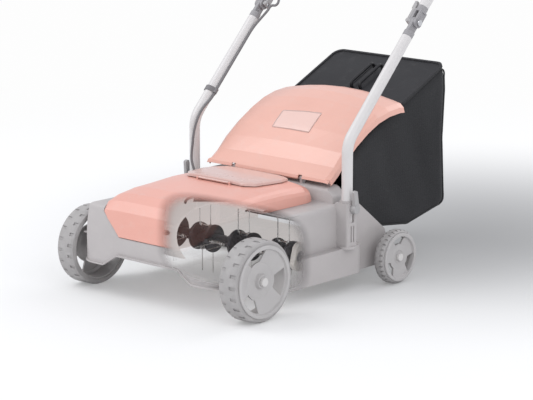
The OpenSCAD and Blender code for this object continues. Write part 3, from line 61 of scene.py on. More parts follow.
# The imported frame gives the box, the joints' pivots and, at the front axle, the drawing's own zero of y.
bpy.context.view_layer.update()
PIVOTS = {joint["name"]: Vector(joint["pos_m"]) for joint in frame["joints"] if "pos_m" in joint}
AXLE_Y = PIVOTS["front_wheel_left_spin"].y
ROLLER = PIVOTS["roller_spin"]
FOLD = PIVOTS["handle_fold"]

# The handle's lean, its legs' distance from the middle and its length above the fold, in millimetres.
LEAN = math.radians(43.5)
LEG_X = 235.0
UPPER_L = 580.0

# Where the photograph was taken from, and its width in pixels.
VIEW_AZ = math.radians(42.3)
VIEW_EL = math.radians(12.4)
PHOTO_WIDTH = 533


def machine(x: float, y: float, z: float) -> Vector:
    """Turn the drawing's millimetres into metres of the shared frame.

    Args:
        x: Millimetres to the right of the middle.
        y: Millimetres behind the front axle.
        z: Millimetres above the ground.

    Returns:
        The point in the shared frame.
    """
    return Vector((x / 1000, AXLE_Y + y / 1000, z / 1000))


def handle_point(x: float, y: float, z: float) -> Vector:
    """Turn the upper handle's own millimetres into metres of the shared frame.

    Args:
        x: Millimetres to the right of the middle.
        y: Millimetres off the tube's axis, the lower side counted as positive.
        z: Millimetres up the tube from the fold joint.

    Returns:
        The point in the shared frame.
    """
    c, s = math.cos(LEAN), math.sin(LEAN)
    return FOLD + Vector((x, y * c + z * s, z * c - y * s)) / 1000


def shade(red: int, green: int, blue: int) -> Colour:
    """Turn a screen colour of 0 to 255 into the linear colour that a shader takes."""
    def linear(v: float) -> float:
        """Undo the screen curve for one channel."""
        return v / 12.92 if v <= 0.04045 else ((v + 0.055) / 1.055) ** 2.4
    return (linear(red / 255), linear(green / 255), linear(blue / 255))


def clamp(value: float) -> float:
    """Hold a value between 0 and 1."""
    return max(0.0, min(1.0, value))


class Slot(Enum):
    """Material slots of the record; no piece in this script takes its finish from them."""

    BAG_CLOTH = "bag_cloth"
    CABLE = "cable_rubber"
    FOAM = "foam"
    HOOD = "hood_pink"


class Lay(Enum):
    """How fine grooves of a brushed or drawn metal run."""

    ALONG_X = (1.0, 40.0, 40.0)
    EVEN = (1.0, 1.0, 1.0)


class Skin(Enum):
    """How much of a surface keeps a veil of its colour where the roller shows through."""

    ALL = "all"
    OUTSIDE = "outside"
    NONE = "none"


class Recipe:
    """Node tree of one finish, with short calls for the nodes that it uses."""

    def __init__(self, name: str) -> None:
        """Start a material with a plain shader joined to its output.

        Args:
            name: Name of the material.
        """
        self.material = bpy.data.materials.new(name)
        self.material.use_nodes = True
        self.tree = self.material.node_tree
        self.shader = self.tree.nodes["Principled BSDF"]
        self.output = self.tree.nodes["Material Output"]

    def node(self, kind: str, **values: object) -> bpy.types.Node:
        """Add a node and set its properties and sockets.

        Args:
            kind: Blender's type name without its ShaderNode prefix.
            **values: Properties by their names in small letters, and sockets by their names, which have a
                capital, with spaces as underscores.

        Returns:
            The new node.
        """
        made = self.tree.nodes.new("ShaderNode" + kind)
        for key, value in values.items():
            if key.islower():
                setattr(made, key, value)
            else:
                self.put(made.inputs[key.replace("_", " ")], value)
        return made

    def put(self, socket: bpy.types.NodeSocket, value: object) -> None:
        """Set a socket to a value, or join it to another node's output."""
        if isinstance(value, bpy.types.NodeSocket):
            self.tree.links.new(value, socket)
        elif isinstance(value, bpy.types.Node):
            self.tree.links.new(value.outputs[0], socket)
        elif isinstance(value, tuple) and len(value) == 3 and socket.type == "RGBA":
            socket.default_value = (*value, 1.0)
        else:
            socket.default_value = value

    def maths(self, operation: str, a: object, b: object = 0.0) -> bpy.types.Node:
        """Add a maths node of two inputs."""
        made = self.tree.nodes.new("ShaderNodeMath")
        made.operation = operation
        self.put(made.inputs[0], a)
        self.put(made.inputs[1], b)
        return made

    def vector(self, operation: str, a: object, b: Optional[object] = None) -> bpy.types.Node:
        """Add a vector maths node of one or two inputs."""
        made = self.node("VectorMath", operation=operation)
        self.put(made.inputs[0], a)
        if b is not None:
            self.put(made.inputs[1], b)
        return made

    def ramp(self, source: object, low: float, high: float,
             start: float = 0.0, end: float = 1.0) -> bpy.types.Node:
        """Map a value's range to another with soft ends."""
        made = self.tree.nodes.new("ShaderNodeMapRange")
        made.interpolation_type = "SMOOTHSTEP"
        self.put(made.inputs["Value"], source)
        for name, value in (("From Min", low), ("From Max", high), ("To Min", start), ("To Max", end)):
            made.inputs[name].default_value = value
        return made

    def place(self, scale: Sequence[float] = (1.0, 1.0, 1.0)) -> bpy.types.Node:
        """Give the piece's own coordinates in metres, scaled."""
        mapping = self.tree.nodes.new("ShaderNodeMapping")
        mapping.inputs["Scale"].default_value = scale
        self.tree.links.new(self.here(), mapping.inputs["Vector"])
        return mapping

    def here(self) -> bpy.types.NodeSocket:
        """Give the piece's own coordinates in metres."""
        return self.tree.nodes.new("ShaderNodeTexCoord").outputs["Object"]

    def noise(self, scale: float, detail: float, roughness: float = 0.5,
              stretch: Sequence[float] = (1.0, 1.0, 1.0)) -> bpy.types.Node:
        """Add a noise over the piece's own coordinates.

        Args:
            scale: Waves to the metre.
            detail: How many finer layers lie on the first.
            roughness: How strongly they show.
            stretch: How many times finer it runs along each axis.

        Returns:
            The noise.
        """
        return self.node("TexNoise", Vector=self.place(stretch), Scale=scale, Detail=detail,
                         Roughness=roughness)

    def mix(self, factor: object, a: object, b: object) -> bpy.types.NodeSocket:
        """Mix two colours and give the socket of the result."""
        made = self.tree.nodes.new("ShaderNodeMix")
        made.data_type = "RGBA"
        self.put(made.inputs[0], factor)
        self.put(made.inputs[6], a)
        self.put(made.inputs[7], b)
        return made.outputs[2]

    def layer(self, share: object, below: object, above: object) -> bpy.types.Node:
        """Mix two shaders."""
        made = self.tree.nodes.new("ShaderNodeMixShader")
        for socket, value in zip(made.inputs, (share, below, above)):
            self.put(socket, value)
        return made

    def bump(self, height: object, strength: float, depth: float,
             below: Optional[object] = None) -> bpy.types.Node:
        """Add a bump over an optional lower bump."""
        made = self.tree.nodes.new("ShaderNodeBump")
        made.inputs["Strength"].default_value = strength
        made.inputs["Distance"].default_value = depth
        self.put(made.inputs["Height"], height)
        if below is not None:
            self.put(made.inputs["Normal"], below)
        return made

    def rounded_edges(self, radius: float) -> bpy.types.Node:
        """Give a normal that rounds the sharp edges of a moulding or casting."""
        made = self.tree.nodes.new("ShaderNodeBevel")
        made.samples = 4
        made.inputs["Radius"].default_value = radius
        return made

    def finish(self, **values: object) -> bpy.types.Material:
        """Set the shader's sockets, by name with spaces as underscores, and give the material."""
        for key, value in values.items():
            self.put(self.shader.inputs[key.replace("_", " ")], value)
        return self.material


@dataclass(frozen=True)
class GhostWindow:
    """Soft window through which the tine roller shows, as in the photograph's ghosted body.

    The window follows the roller's axis, seen along the photograph's direction, and clears only what lies
    before that axis. What lies behind it stays as a backdrop; on the deck that backdrop is given a painted
    glow of a pale colour, though it is no lamp. A place in the window is a number that is 0 in its middle and
    1 on its half height or half width. On the deck only the outside keeps a veil, which lies before
    deck_front, counted from the front axle, above deck_top or beyond deck_flank.
    """

    half_height: float = 0.098
    half_width: float = 0.225
    squareness: float = 4.0
    veil: float = 0.03
    fade_from: float = 0.35
    fade_to: float = 1.15
    clear_to: float = 1.3
    # Colour and greatest share of the painted glow that the deck gives off behind the roller, though it is no
    # lamp.
    backdrop: Colour = shade(226, 221, 219)
    glow: float = 0.62
    deck_front: float = -0.030
    deck_top: float = 0.1955
    deck_flank: float = 0.2165

    def ring(self, recipe: Recipe, away: bpy.types.Node) -> bpy.types.Node:
        """Find the surface's place in the window.

        Args:
            recipe: The recipe whose surface gets the window.
            away: The surface's way from the roller's middle.

        Returns:
            The place.
        """
        across = Vector((math.cos(VIEW_AZ), math.sin(VIEW_AZ), 0.0))
        upward = Vector((-math.sin(VIEW_AZ) * math.sin(VIEW_EL), math.cos(VIEW_AZ) * math.sin(VIEW_EL),
                         math.cos(VIEW_EL)))
        right, up = (recipe.vector("DOT_PRODUCT", away, axis).outputs["Value"] for axis in (across, upward))
        off_axis = recipe.maths("ADD", up, recipe.maths("MULTIPLY", right, -upward.x / across.x))
        along = recipe.maths("MULTIPLY", right, 1.0 / across.x)
        parts = []
        for distance, half in ((off_axis, self.half_height), (along, self.half_width)):
            size = recipe.maths("DIVIDE", recipe.maths("ABSOLUTE", distance), half)
            parts.append(recipe.maths("POWER", size, self.squareness))
        return recipe.maths("ADD", *parts)

    def outside(self, recipe: Recipe) -> bpy.types.Node:
        """Tell the deck's outside, which is its front, its top and its flanks, from its inner walls."""
        place = recipe.tree.nodes.new("ShaderNodeSeparateXYZ")
        recipe.put(place.inputs[0], recipe.here())
        front = recipe.maths("LESS_THAN", place.outputs["Y"], AXLE_Y + self.deck_front)
        top = recipe.maths("GREATER_THAN", place.outputs["Z"], self.deck_top)
        flank = recipe.maths("GREATER_THAN", recipe.maths("ABSOLUTE", place.outputs["X"]), self.deck_flank)
        return recipe.maths("MAXIMUM", recipe.maths("MAXIMUM", front, top), flank)

    def cut(self, recipe: Recipe, skin: Skin) -> None:
        """Mix a clear shader into a recipe over the window, and on the outside skin a painted glow where the
        surface lies behind the roller.

        Args:
            recipe: The recipe whose surface gets the window.
            skin: Which of the surface keeps a veil of its colour.
        """
        away = recipe.vector("SUBTRACT", recipe.here(), ROLLER)
        to_camera = Vector((math.sin(VIEW_AZ) * math.cos(VIEW_EL), -math.cos(VIEW_AZ) * math.cos(VIEW_EL),
                            math.sin(VIEW_EL)))
        depth = recipe.vector("DOT_PRODUCT", away, to_camera).outputs["Value"]
        ahead = recipe.maths("GREATER_THAN", depth, 0.0)
        ring = self.ring(recipe, away)
        bare = recipe.maths("MULTIPLY", recipe.maths("LESS_THAN", ring, self.clear_to), ahead)
        fade = recipe.ramp(ring, self.fade_from, self.fade_to, 1.0 - self.veil, 0.0)
        veiled = recipe.maths("MULTIPLY", fade, ahead)
        clear = recipe.tree.nodes.new("ShaderNodeBsdfTransparent")
        if skin is Skin.OUTSIDE:
            chosen = recipe.tree.nodes.new("ShaderNodeMix")
            for index, value in ((0, self.outside(recipe)), (2, bare), (3, veiled)):
                recipe.put(chosen.inputs[index], value)
            # Painted glow: behind the roller's axis the surface gives off the backdrop colour, though it is
            # no lamp.
            beyond = recipe.maths("MULTIPLY", recipe.ramp(ring, self.fade_from, self.fade_to, self.glow, 0.0),
                                  recipe.maths("SUBTRACT", 1.0, ahead))
            glow = recipe.node("Emission", Color=self.backdrop, Strength=1.0)
            surface = recipe.layer(beyond, recipe.layer(chosen, recipe.shader, clear), glow)
        else:
            surface = recipe.layer(veiled if skin is Skin.ALL else bare, recipe.shader, clear)
        recipe.put(recipe.output.inputs["Surface"], surface)


WINDOW = GhostWindow()


@dataclass(frozen=True)
class Moulding:
    """Moulded plastic with fine grain, faint flow marks, dust and paler rubbed edges."""

    name: str
    colour: Colour
    rough: float = 0.45
    grain: float = 900.0
    grain_depth: float = 0.00006
    mottle: float = 0.08
    edge: float = 0.0012
    rub: float = 0.25
    coat: float = 0.0
    dust: float = 0.14
    dust_colour: Colour = (0.62, 0.60, 0.57)
    window: Optional[GhostWindow] = None
    skin: Skin = Skin.ALL

    def make(self) -> bpy.types.Material:
        """Build the material.

        Returns:
            The finished material.
        """
        r = Recipe(self.name)
        flow = r.noise(1.0, 4.0, 0.6, (6.0, 6.0, 14.0))
        fine = r.noise(self.grain, 2.0)
        dust = r.noise(38.0, 6.0, 0.7)
        darker = tuple(c * (1.0 - 1.6 * self.mottle) for c in self.colour)
        lighter = tuple(min(1.0, c * (1.0 + self.mottle)) for c in self.colour)
        tone = r.mix(flow, darker, lighter)
        tone = r.mix(r.ramp(dust, 0.5, 0.78, 0.0, self.dust), tone, self.dust_colour)
        soft = r.rounded_edges(self.edge)
        plain = r.tree.nodes.new("ShaderNodeNewGeometry")
        turn = r.vector("DISTANCE", soft, plain.outputs["Normal"]).outputs["Value"]
        worn = r.maths("MULTIPLY", r.ramp(turn, 0.12, 0.7), r.ramp(dust, 0.35, 0.6, 0.4, 1.0))
        pale = tuple(min(1.0, c * 1.25 + 0.03) for c in self.colour)
        tone = r.mix(r.maths("MULTIPLY", worn, self.rub), tone, pale)
        if self.window is not None:
            self.window.cut(r, self.skin)
        return r.finish(
            Base_Color=tone, Roughness=r.ramp(flow, 0.2, 0.8, self.rough - 0.05, self.rough + 0.07),
            Specular_IOR_Level=0.42, Coat_Weight=self.coat, Coat_Roughness=0.18,
            Normal=r.bump(fine, 0.35, self.grain_depth * 4, soft))


@dataclass(frozen=True)
class Rubber:
    """Matt wheel or belt rubber, dusty in its hollows."""

    name: str
    colour: Colour
    rough: float = 0.72
    dusty: float = 0.3
    window: Optional[GhostWindow] = None

    def make(self) -> bpy.types.Material:
        """Build the material."""
        r = Recipe(self.name)
        blotch = r.noise(26.0, 6.0, 0.7)
        pore = r.noise(1400.0, 1.0)
        dusted = tuple(c * 1.3 + 0.06 for c in self.colour)
        if self.window is not None:
            self.window.cut(r, Skin.NONE)
        return r.finish(
            Base_Color=r.mix(r.ramp(blotch, 0.4, 0.72, 0.0, self.dusty), self.colour, dusted),
            Roughness=r.ramp(blotch, 0.3, 0.7, self.rough - 0.08, self.rough + 0.08),
            Normal=r.bump(pore, 0.4, 0.0002, r.rounded_edges(0.0015)))


@dataclass(frozen=True)
class Steel:
    """Bare, plated or spring steel with drawn lines and a few dull specks."""

    name: str
    colour: Colour
    rough: float = 0.28
    lay: Lay = Lay.EVEN
    specks: float = 0.2
    speck_colour: Colour = (0.16, 0.14, 0.12)
    metallic: float = 1.0
    window: Optional[GhostWindow] = None

    def make(self) -> bpy.types.Material:
        """Build the material."""
        r = Recipe(self.name)
        lines = r.noise(60.0, 5.0, 0.65, self.lay.value)
        specks = r.node("TexVoronoi", Vector=r.place(), Scale=420.0).outputs["Distance"]
        dull = r.maths("MULTIPLY", r.ramp(specks, 0.16, 0.05), self.specks)
        tone = r.mix(r.ramp(lines, 0.25, 0.8, 0.0, 0.4), self.colour, tuple(c * 0.72 for c in self.colour))
        if self.window is not None:
            self.window.cut(r, Skin.NONE)
        return r.finish(
            Base_Color=r.mix(dull, tone, self.speck_colour), Metallic=self.metallic,
            Roughness=r.ramp(lines, 0.2, 0.8, self.rough - 0.08, self.rough + 0.12),
            Normal=r.bump(lines, 0.12, 0.0003, r.rounded_edges(0.0005)))


@dataclass(frozen=True)
class PowderCoat:
    """Pale powder-coated tube with its fine orange peel."""

    name: str
    colour: Colour
    rough: float = 0.36

    def make(self) -> bpy.types.Material:
        """Build the material."""
        r = Recipe(self.name)
        peel = r.noise(320.0, 2.0)
        soil = r.noise(9.0, 5.0, 0.7)
        soiled = tuple(c * 0.86 for c in self.colour)
        return r.finish(
            Base_Color=r.mix(r.ramp(soil, 0.45, 0.75, 0.0, 0.3), self.colour, soiled),
            Roughness=r.ramp(soil, 0.3, 0.7, self.rough - 0.05, self.rough + 0.1),
            Coat_Weight=0.25, Coat_Roughness=0.2,
            Normal=r.bump(peel, 0.3, 0.0002, r.rounded_edges(0.0008)))


@dataclass(frozen=True)
class Foam:
    """Closed-cell foam of the grip."""

    name: str
    colour: Colour

    def make(self) -> bpy.types.Material:
        """Build the material."""
        r = Recipe(self.name)
        cells = r.node("TexVoronoi", Vector=r.place(), Scale=1100.0)
        hand = r.noise(30.0, 4.0)
        polished = tuple(c * 1.5 + 0.01 for c in self.colour)
        return r.finish(
            Base_Color=r.mix(r.ramp(hand, 0.4, 0.7, 0.0, 0.5), self.colour, polished),
            Roughness=0.9, Sheen_Weight=0.3, Normal=r.bump(cells.outputs["Distance"], 0.6, 0.0006))


@dataclass(frozen=True)
class WovenCloth:
    """Coarse synthetic bag cloth, woven along the piece's own UV map."""

    name: str
    colour: Colour
    thread: float = 0.0011
    uv_map: str = "cloth"

    def make(self) -> bpy.types.Material:
        """Build the material."""
        r = Recipe(self.name)
        here = r.node("UVMap", uv_map=self.uv_map).outputs["UV"]
        threads = []
        for direction in ("X", "Y"):
            wave = r.node("TexWave", wave_type="BANDS", bands_direction=direction, wave_profile="SIN",
                          Vector=here, Scale=0.05 / self.thread, Distortion=0.35, Detail=2.0,
                          Detail_Scale=3.0)
            threads.append(wave.outputs["Fac"])
        weave = r.maths("MULTIPLY", *threads)
        fade = r.noise(7.0, 5.0, 0.65)
        slub = r.noise(520.0, 3.0)
        faded = tuple(c * 1.5 + 0.004 for c in self.colour)
        raised = tuple(c * 1.5 + 0.002 for c in self.colour)
        tone = r.mix(r.ramp(fade, 0.35, 0.75, 0.0, 0.5), self.colour, faded)
        return r.finish(
            Base_Color=r.mix(r.maths("MULTIPLY", weave, 0.3), tone, raised),
            Roughness=r.ramp(slub, 0.3, 0.7, 0.7, 0.9), Sheen_Weight=0.08, Sheen_Roughness=0.5,
            Normal=r.bump(weave, 0.3, 0.0004, r.bump(slub, 0.25, 0.0004)))


def dress(material: bpy.types.Material, *nodes: str) -> None:
    """Give CAD nodes a finish in every material slot.

    Args:
        material: The finish.
        *nodes: Names of the nodes.
    """
    for name in nodes:
        slots = frame["nodes"][name].data.materials
        if not slots:
            slots.append(material)
        for i in range(len(slots)):
            slots[i] = material
        log.info("dressed %s in %s", name, material.name)


def settle(obj: bpy.types.Object) -> bpy.types.Mesh:
    """Give the mesh of an object with its modifiers or its curve's thickness, and delete the object."""
    bpy.context.scene.collection.objects.link(obj)
    bpy.context.view_layer.update()
    mesh = bpy.data.meshes.new_from_object(obj.evaluated_get(bpy.context.evaluated_depsgraph_get()))
    bpy.data.objects.remove(obj)
    return mesh


def piece(name: str, bm: bmesh.types.BMesh, material: bpy.types.Material, body: str) -> bpy.types.Object:
    """Turn a bmesh into a smooth piece that rides on a body.

    Args:
        name: The piece's name.
        bm: Its mesh, in metres of the shared frame. It is freed.
        material: Its finish.
        body: The CAD body that it moves with.

    Returns:
        The piece.
    """
    mesh = bpy.data.meshes.new(name)
    bm.to_mesh(mesh)
    bm.free()
    for face in mesh.polygons:
        face.use_smooth = True
    obj = bpy.data.objects.new(name, mesh)
    bpy.context.scene.collection.objects.link(obj)
    mesh.materials.append(material)
    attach(obj, body)
    log.info("made %s with %d faces on %s", name, len(mesh.polygons), body)
    return obj


def tube(points: Sequence[Vector], radius: float, name: str, material: bpy.types.Material, body: str,
         around: int = 6) -> bpy.types.Object:
    """Lay a round cord on one smooth curve through points, as a mesh.

    Args:
        points: The points that it passes, in metres of the shared frame.
        radius: Its radius.
        name: The piece's name.
        material: Its finish.
        body: The CAD body that it moves with.
        around: Blender's bevel resolution.

    Returns:
        The piece.
    """
    curve = bpy.data.curves.new(name + "_path", "CURVE")
    curve.dimensions = "3D"
    curve.bevel_depth = radius
    curve.bevel_resolution = around
    curve.resolution_u = 6
    curve.use_fill_caps = True
    spline = curve.splines.new("BEZIER")
    spline.bezier_points.add(len(points) - 1)
    for knot, point in zip(spline.bezier_points, points):
        knot.co = point
        knot.handle_left_type = knot.handle_right_type = "AUTO"
    bm = bmesh.new()
    bm.from_mesh(settle(bpy.data.objects.new(name + "_path", curve)))
    close(bm)
    return piece(name, bm, material, body)


def close(bm: bmesh.types.BMesh) -> None:
    """Join the points of a mesh that coincide, and turn its faces outwards."""
    bmesh.ops.remove_doubles(bm, verts=bm.verts, dist=1e-6)
    bmesh.ops.recalc_face_normals(bm, faces=bm.faces)


def relax(bm: bmesh.types.BMesh, factor: float) -> None:
    """Smooth a mesh once."""
    bmesh.ops.smooth_vert(bm, verts=bm.verts, factor=factor,
                          use_axis_x=True, use_axis_y=True, use_axis_z=True)


@dataclass
class Housing:
    """Deck, hood, battery lid, rear flap and what they hold inside."""

    label_corners: tuple[Pair, ...] = (
        (-66.8, 440.8), (48.6, 448.3), (53.4, 396.0), (-61.4, 395.7))
    label_cells: tuple[int, int] = (24, 12)
    label_round: float = 0.004
    label_lift: float = 0.0002
    label_thick: float = 0.0004

    def dress(self) -> None:
        """Give the housing's nodes their finishes."""
        # The deck's window shows the roller, and behind it the deck gives off a painted glow.
        dress(Moulding("deck moulding", shade(180, 175, 174), 0.5, rub=0.3,
                       window=WINDOW, skin=Skin.OUTSIDE).make(), "deck")
        dress(Moulding("hatch moulding", shade(158, 154, 152), 0.5).make(), "belt_cover")
        gloss = {"grain": 500.0, "grain_depth": 0.00002, "mottle": 0.04, "rub": 0.2}
        dress(Moulding("hood gloss", shade(224, 165, 151), 0.34, coat=0.25, window=WINDOW, **gloss).make(),
              "hood")
        dress(Moulding("flap gloss", shade(228, 176, 161), 0.36, coat=0.3, **gloss).make(), "rear_flap")
        dress(Moulding("lid gloss", shade(208, 172, 163), 0.28, grain=400.0, grain_depth=0.00001, mottle=0.03,
                       rub=0.15, coat=0.6).make(), "battery_lid")
        inside = {"window": WINDOW, "skin": Skin.NONE}
        dress(Moulding("pack black", shade(46, 45, 48), 0.55, grain=700.0, **inside).make(), "battery_packs")
        dress(Moulding("tray grey", shade(112, 110, 111), 0.55, **inside).make(), "battery_tray")
        dress(Steel("bright steel", (0.68, 0.68, 0.69), 0.26, Lay.ALONG_X).make(),
              "lid_pin", "flap_rod", "deck_screws", "rear_axle", "foot_bolts", "fold_bolts")

    def label(self) -> None:
        """Lay the bare pale label plate on the flap's crown."""
        flap = frame["nodes"]["rear_flap"].data
        tree = BVHTree.FromPolygons([v.co.copy() for v in flap.vertices],
                                    [tuple(p.vertices) for p in flap.polygons])
        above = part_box("rear_flap")[1].z + 0.1
        bm = bmesh.new()
        bmesh.ops.create_grid(bm, x_segments=self.label_cells[0], y_segments=self.label_cells[1], size=0.5)
        far_left, far_right, near_right, near_left = (Vector(c) for c in self.label_corners)
        for v in bm.verts:
            u, w = v.co.x + 0.5, v.co.y + 0.5
            flat = near_left.lerp(near_right, u).lerp(far_left.lerp(far_right, u), w)
            start = machine(flat.x, flat.y, above * 1000)
            hit, _, _, _ = tree.ray_cast(start, Vector((0, 0, -1)))
            v.co = hit + Vector((0, 0, self.label_lift))
        corners = [v for v in bm.verts if len(v.link_edges) == 2]
        bmesh.ops.bevel(bm, geom=corners, offset=self.label_round, offset_type="OFFSET", segments=3,
                        profile=0.5, affect="VERTICES", material=-1)
        bmesh.ops.recalc_face_normals(bm, faces=bm.faces)
        if sum(f.normal.z for f in bm.faces) < 0:
            bmesh.ops.reverse_faces(bm, faces=bm.faces)
        bmesh.ops.solidify(bm, geom=bm.faces[:], thickness=-self.label_thick)
        bmesh.ops.recalc_face_normals(bm, faces=bm.faces)
        finish = Moulding("bare label plate", shade(228, 193, 183), 0.3, grain=300.0, grain_depth=0.00001,
                          mottle=0.02, rub=0.05, coat=0.4).make()
        piece("flap_label_plate", bm, finish, "flap")


@dataclass
class Drive:
    """Motor, belt, tine roller and their small parts."""

    pulley_grey: Colour = (0.45, 0.45, 0.46)

    def dress(self) -> None:
        """Give the drive's nodes their finishes."""
        dress(Steel("motor can", (0.34, 0.34, 0.35), 0.42, Lay.ALONG_X, window=WINDOW).make(), "motor")
        dress(Steel("controller casting", (0.55, 0.56, 0.57), 0.45, window=WINDOW).make(), "controller")
        dress(Steel("pulley steel", self.pulley_grey, 0.35, window=WINDOW).make(),
              "motor_pulley", "motor_shaft")
        dress(Steel("roller pulley steel", self.pulley_grey, 0.35).make(), "roller_pulley")
        dress(Rubber("belt rubber", (0.02, 0.02, 0.021), 0.6, 0.1).make(), "drive_belt")
        dress(Moulding("roller black", shade(52, 51, 57), 0.42, grain=800.0, mottle=0.12, rub=0.5).make(),
              "roller_core")
        dress(Steel("spring steel", (0.72, 0.71, 0.69), 0.22, specks=0.1).make(),
              "tine_springs", "spring_rods")
        dress(Steel("shaft steel", (0.6, 0.6, 0.61), 0.25, Lay.ALONG_X).make(),
              "roller_shaft", "roller_bearings")
        dress(Moulding("bearing cap white", shade(233, 228, 220), 0.4, mottle=0.03).make(), "bearing_cap")


@dataclass
class RunningGear:
    """Wheels, axles and the depth lever."""

    ends: tuple[str, str] = ("front", "rear")
    sides: tuple[str, str] = ("left", "right")

    def wheels(self, part: str) -> list[str]:
        """List the nodes of one part of all four wheels."""
        return [f"{end}_{part}_{side}" for end in self.ends for side in self.sides]

    def dress(self) -> None:
        """Give the running gear's nodes their finishes."""
        dress(Rubber("tyre grey", shade(160, 157, 156), 0.62, 0.35).make(), *self.wheels("tyre"))
        dress(Moulding("rim grey", shade(180, 177, 176), 0.42, mottle=0.05).make(), *self.wheels("rim"))
        dress(Moulding("axle cap grey", shade(205, 202, 200), 0.35).make(),
              "front_axle_caps", "rear_axle_caps")
        dress(Steel("axle steel", (0.55, 0.55, 0.56), 0.3, Lay.ALONG_X, window=WINDOW).make(), "swing_axle")
        dress(Moulding("lever black", shade(64, 62, 65), 0.5).make(), "depth_lever")


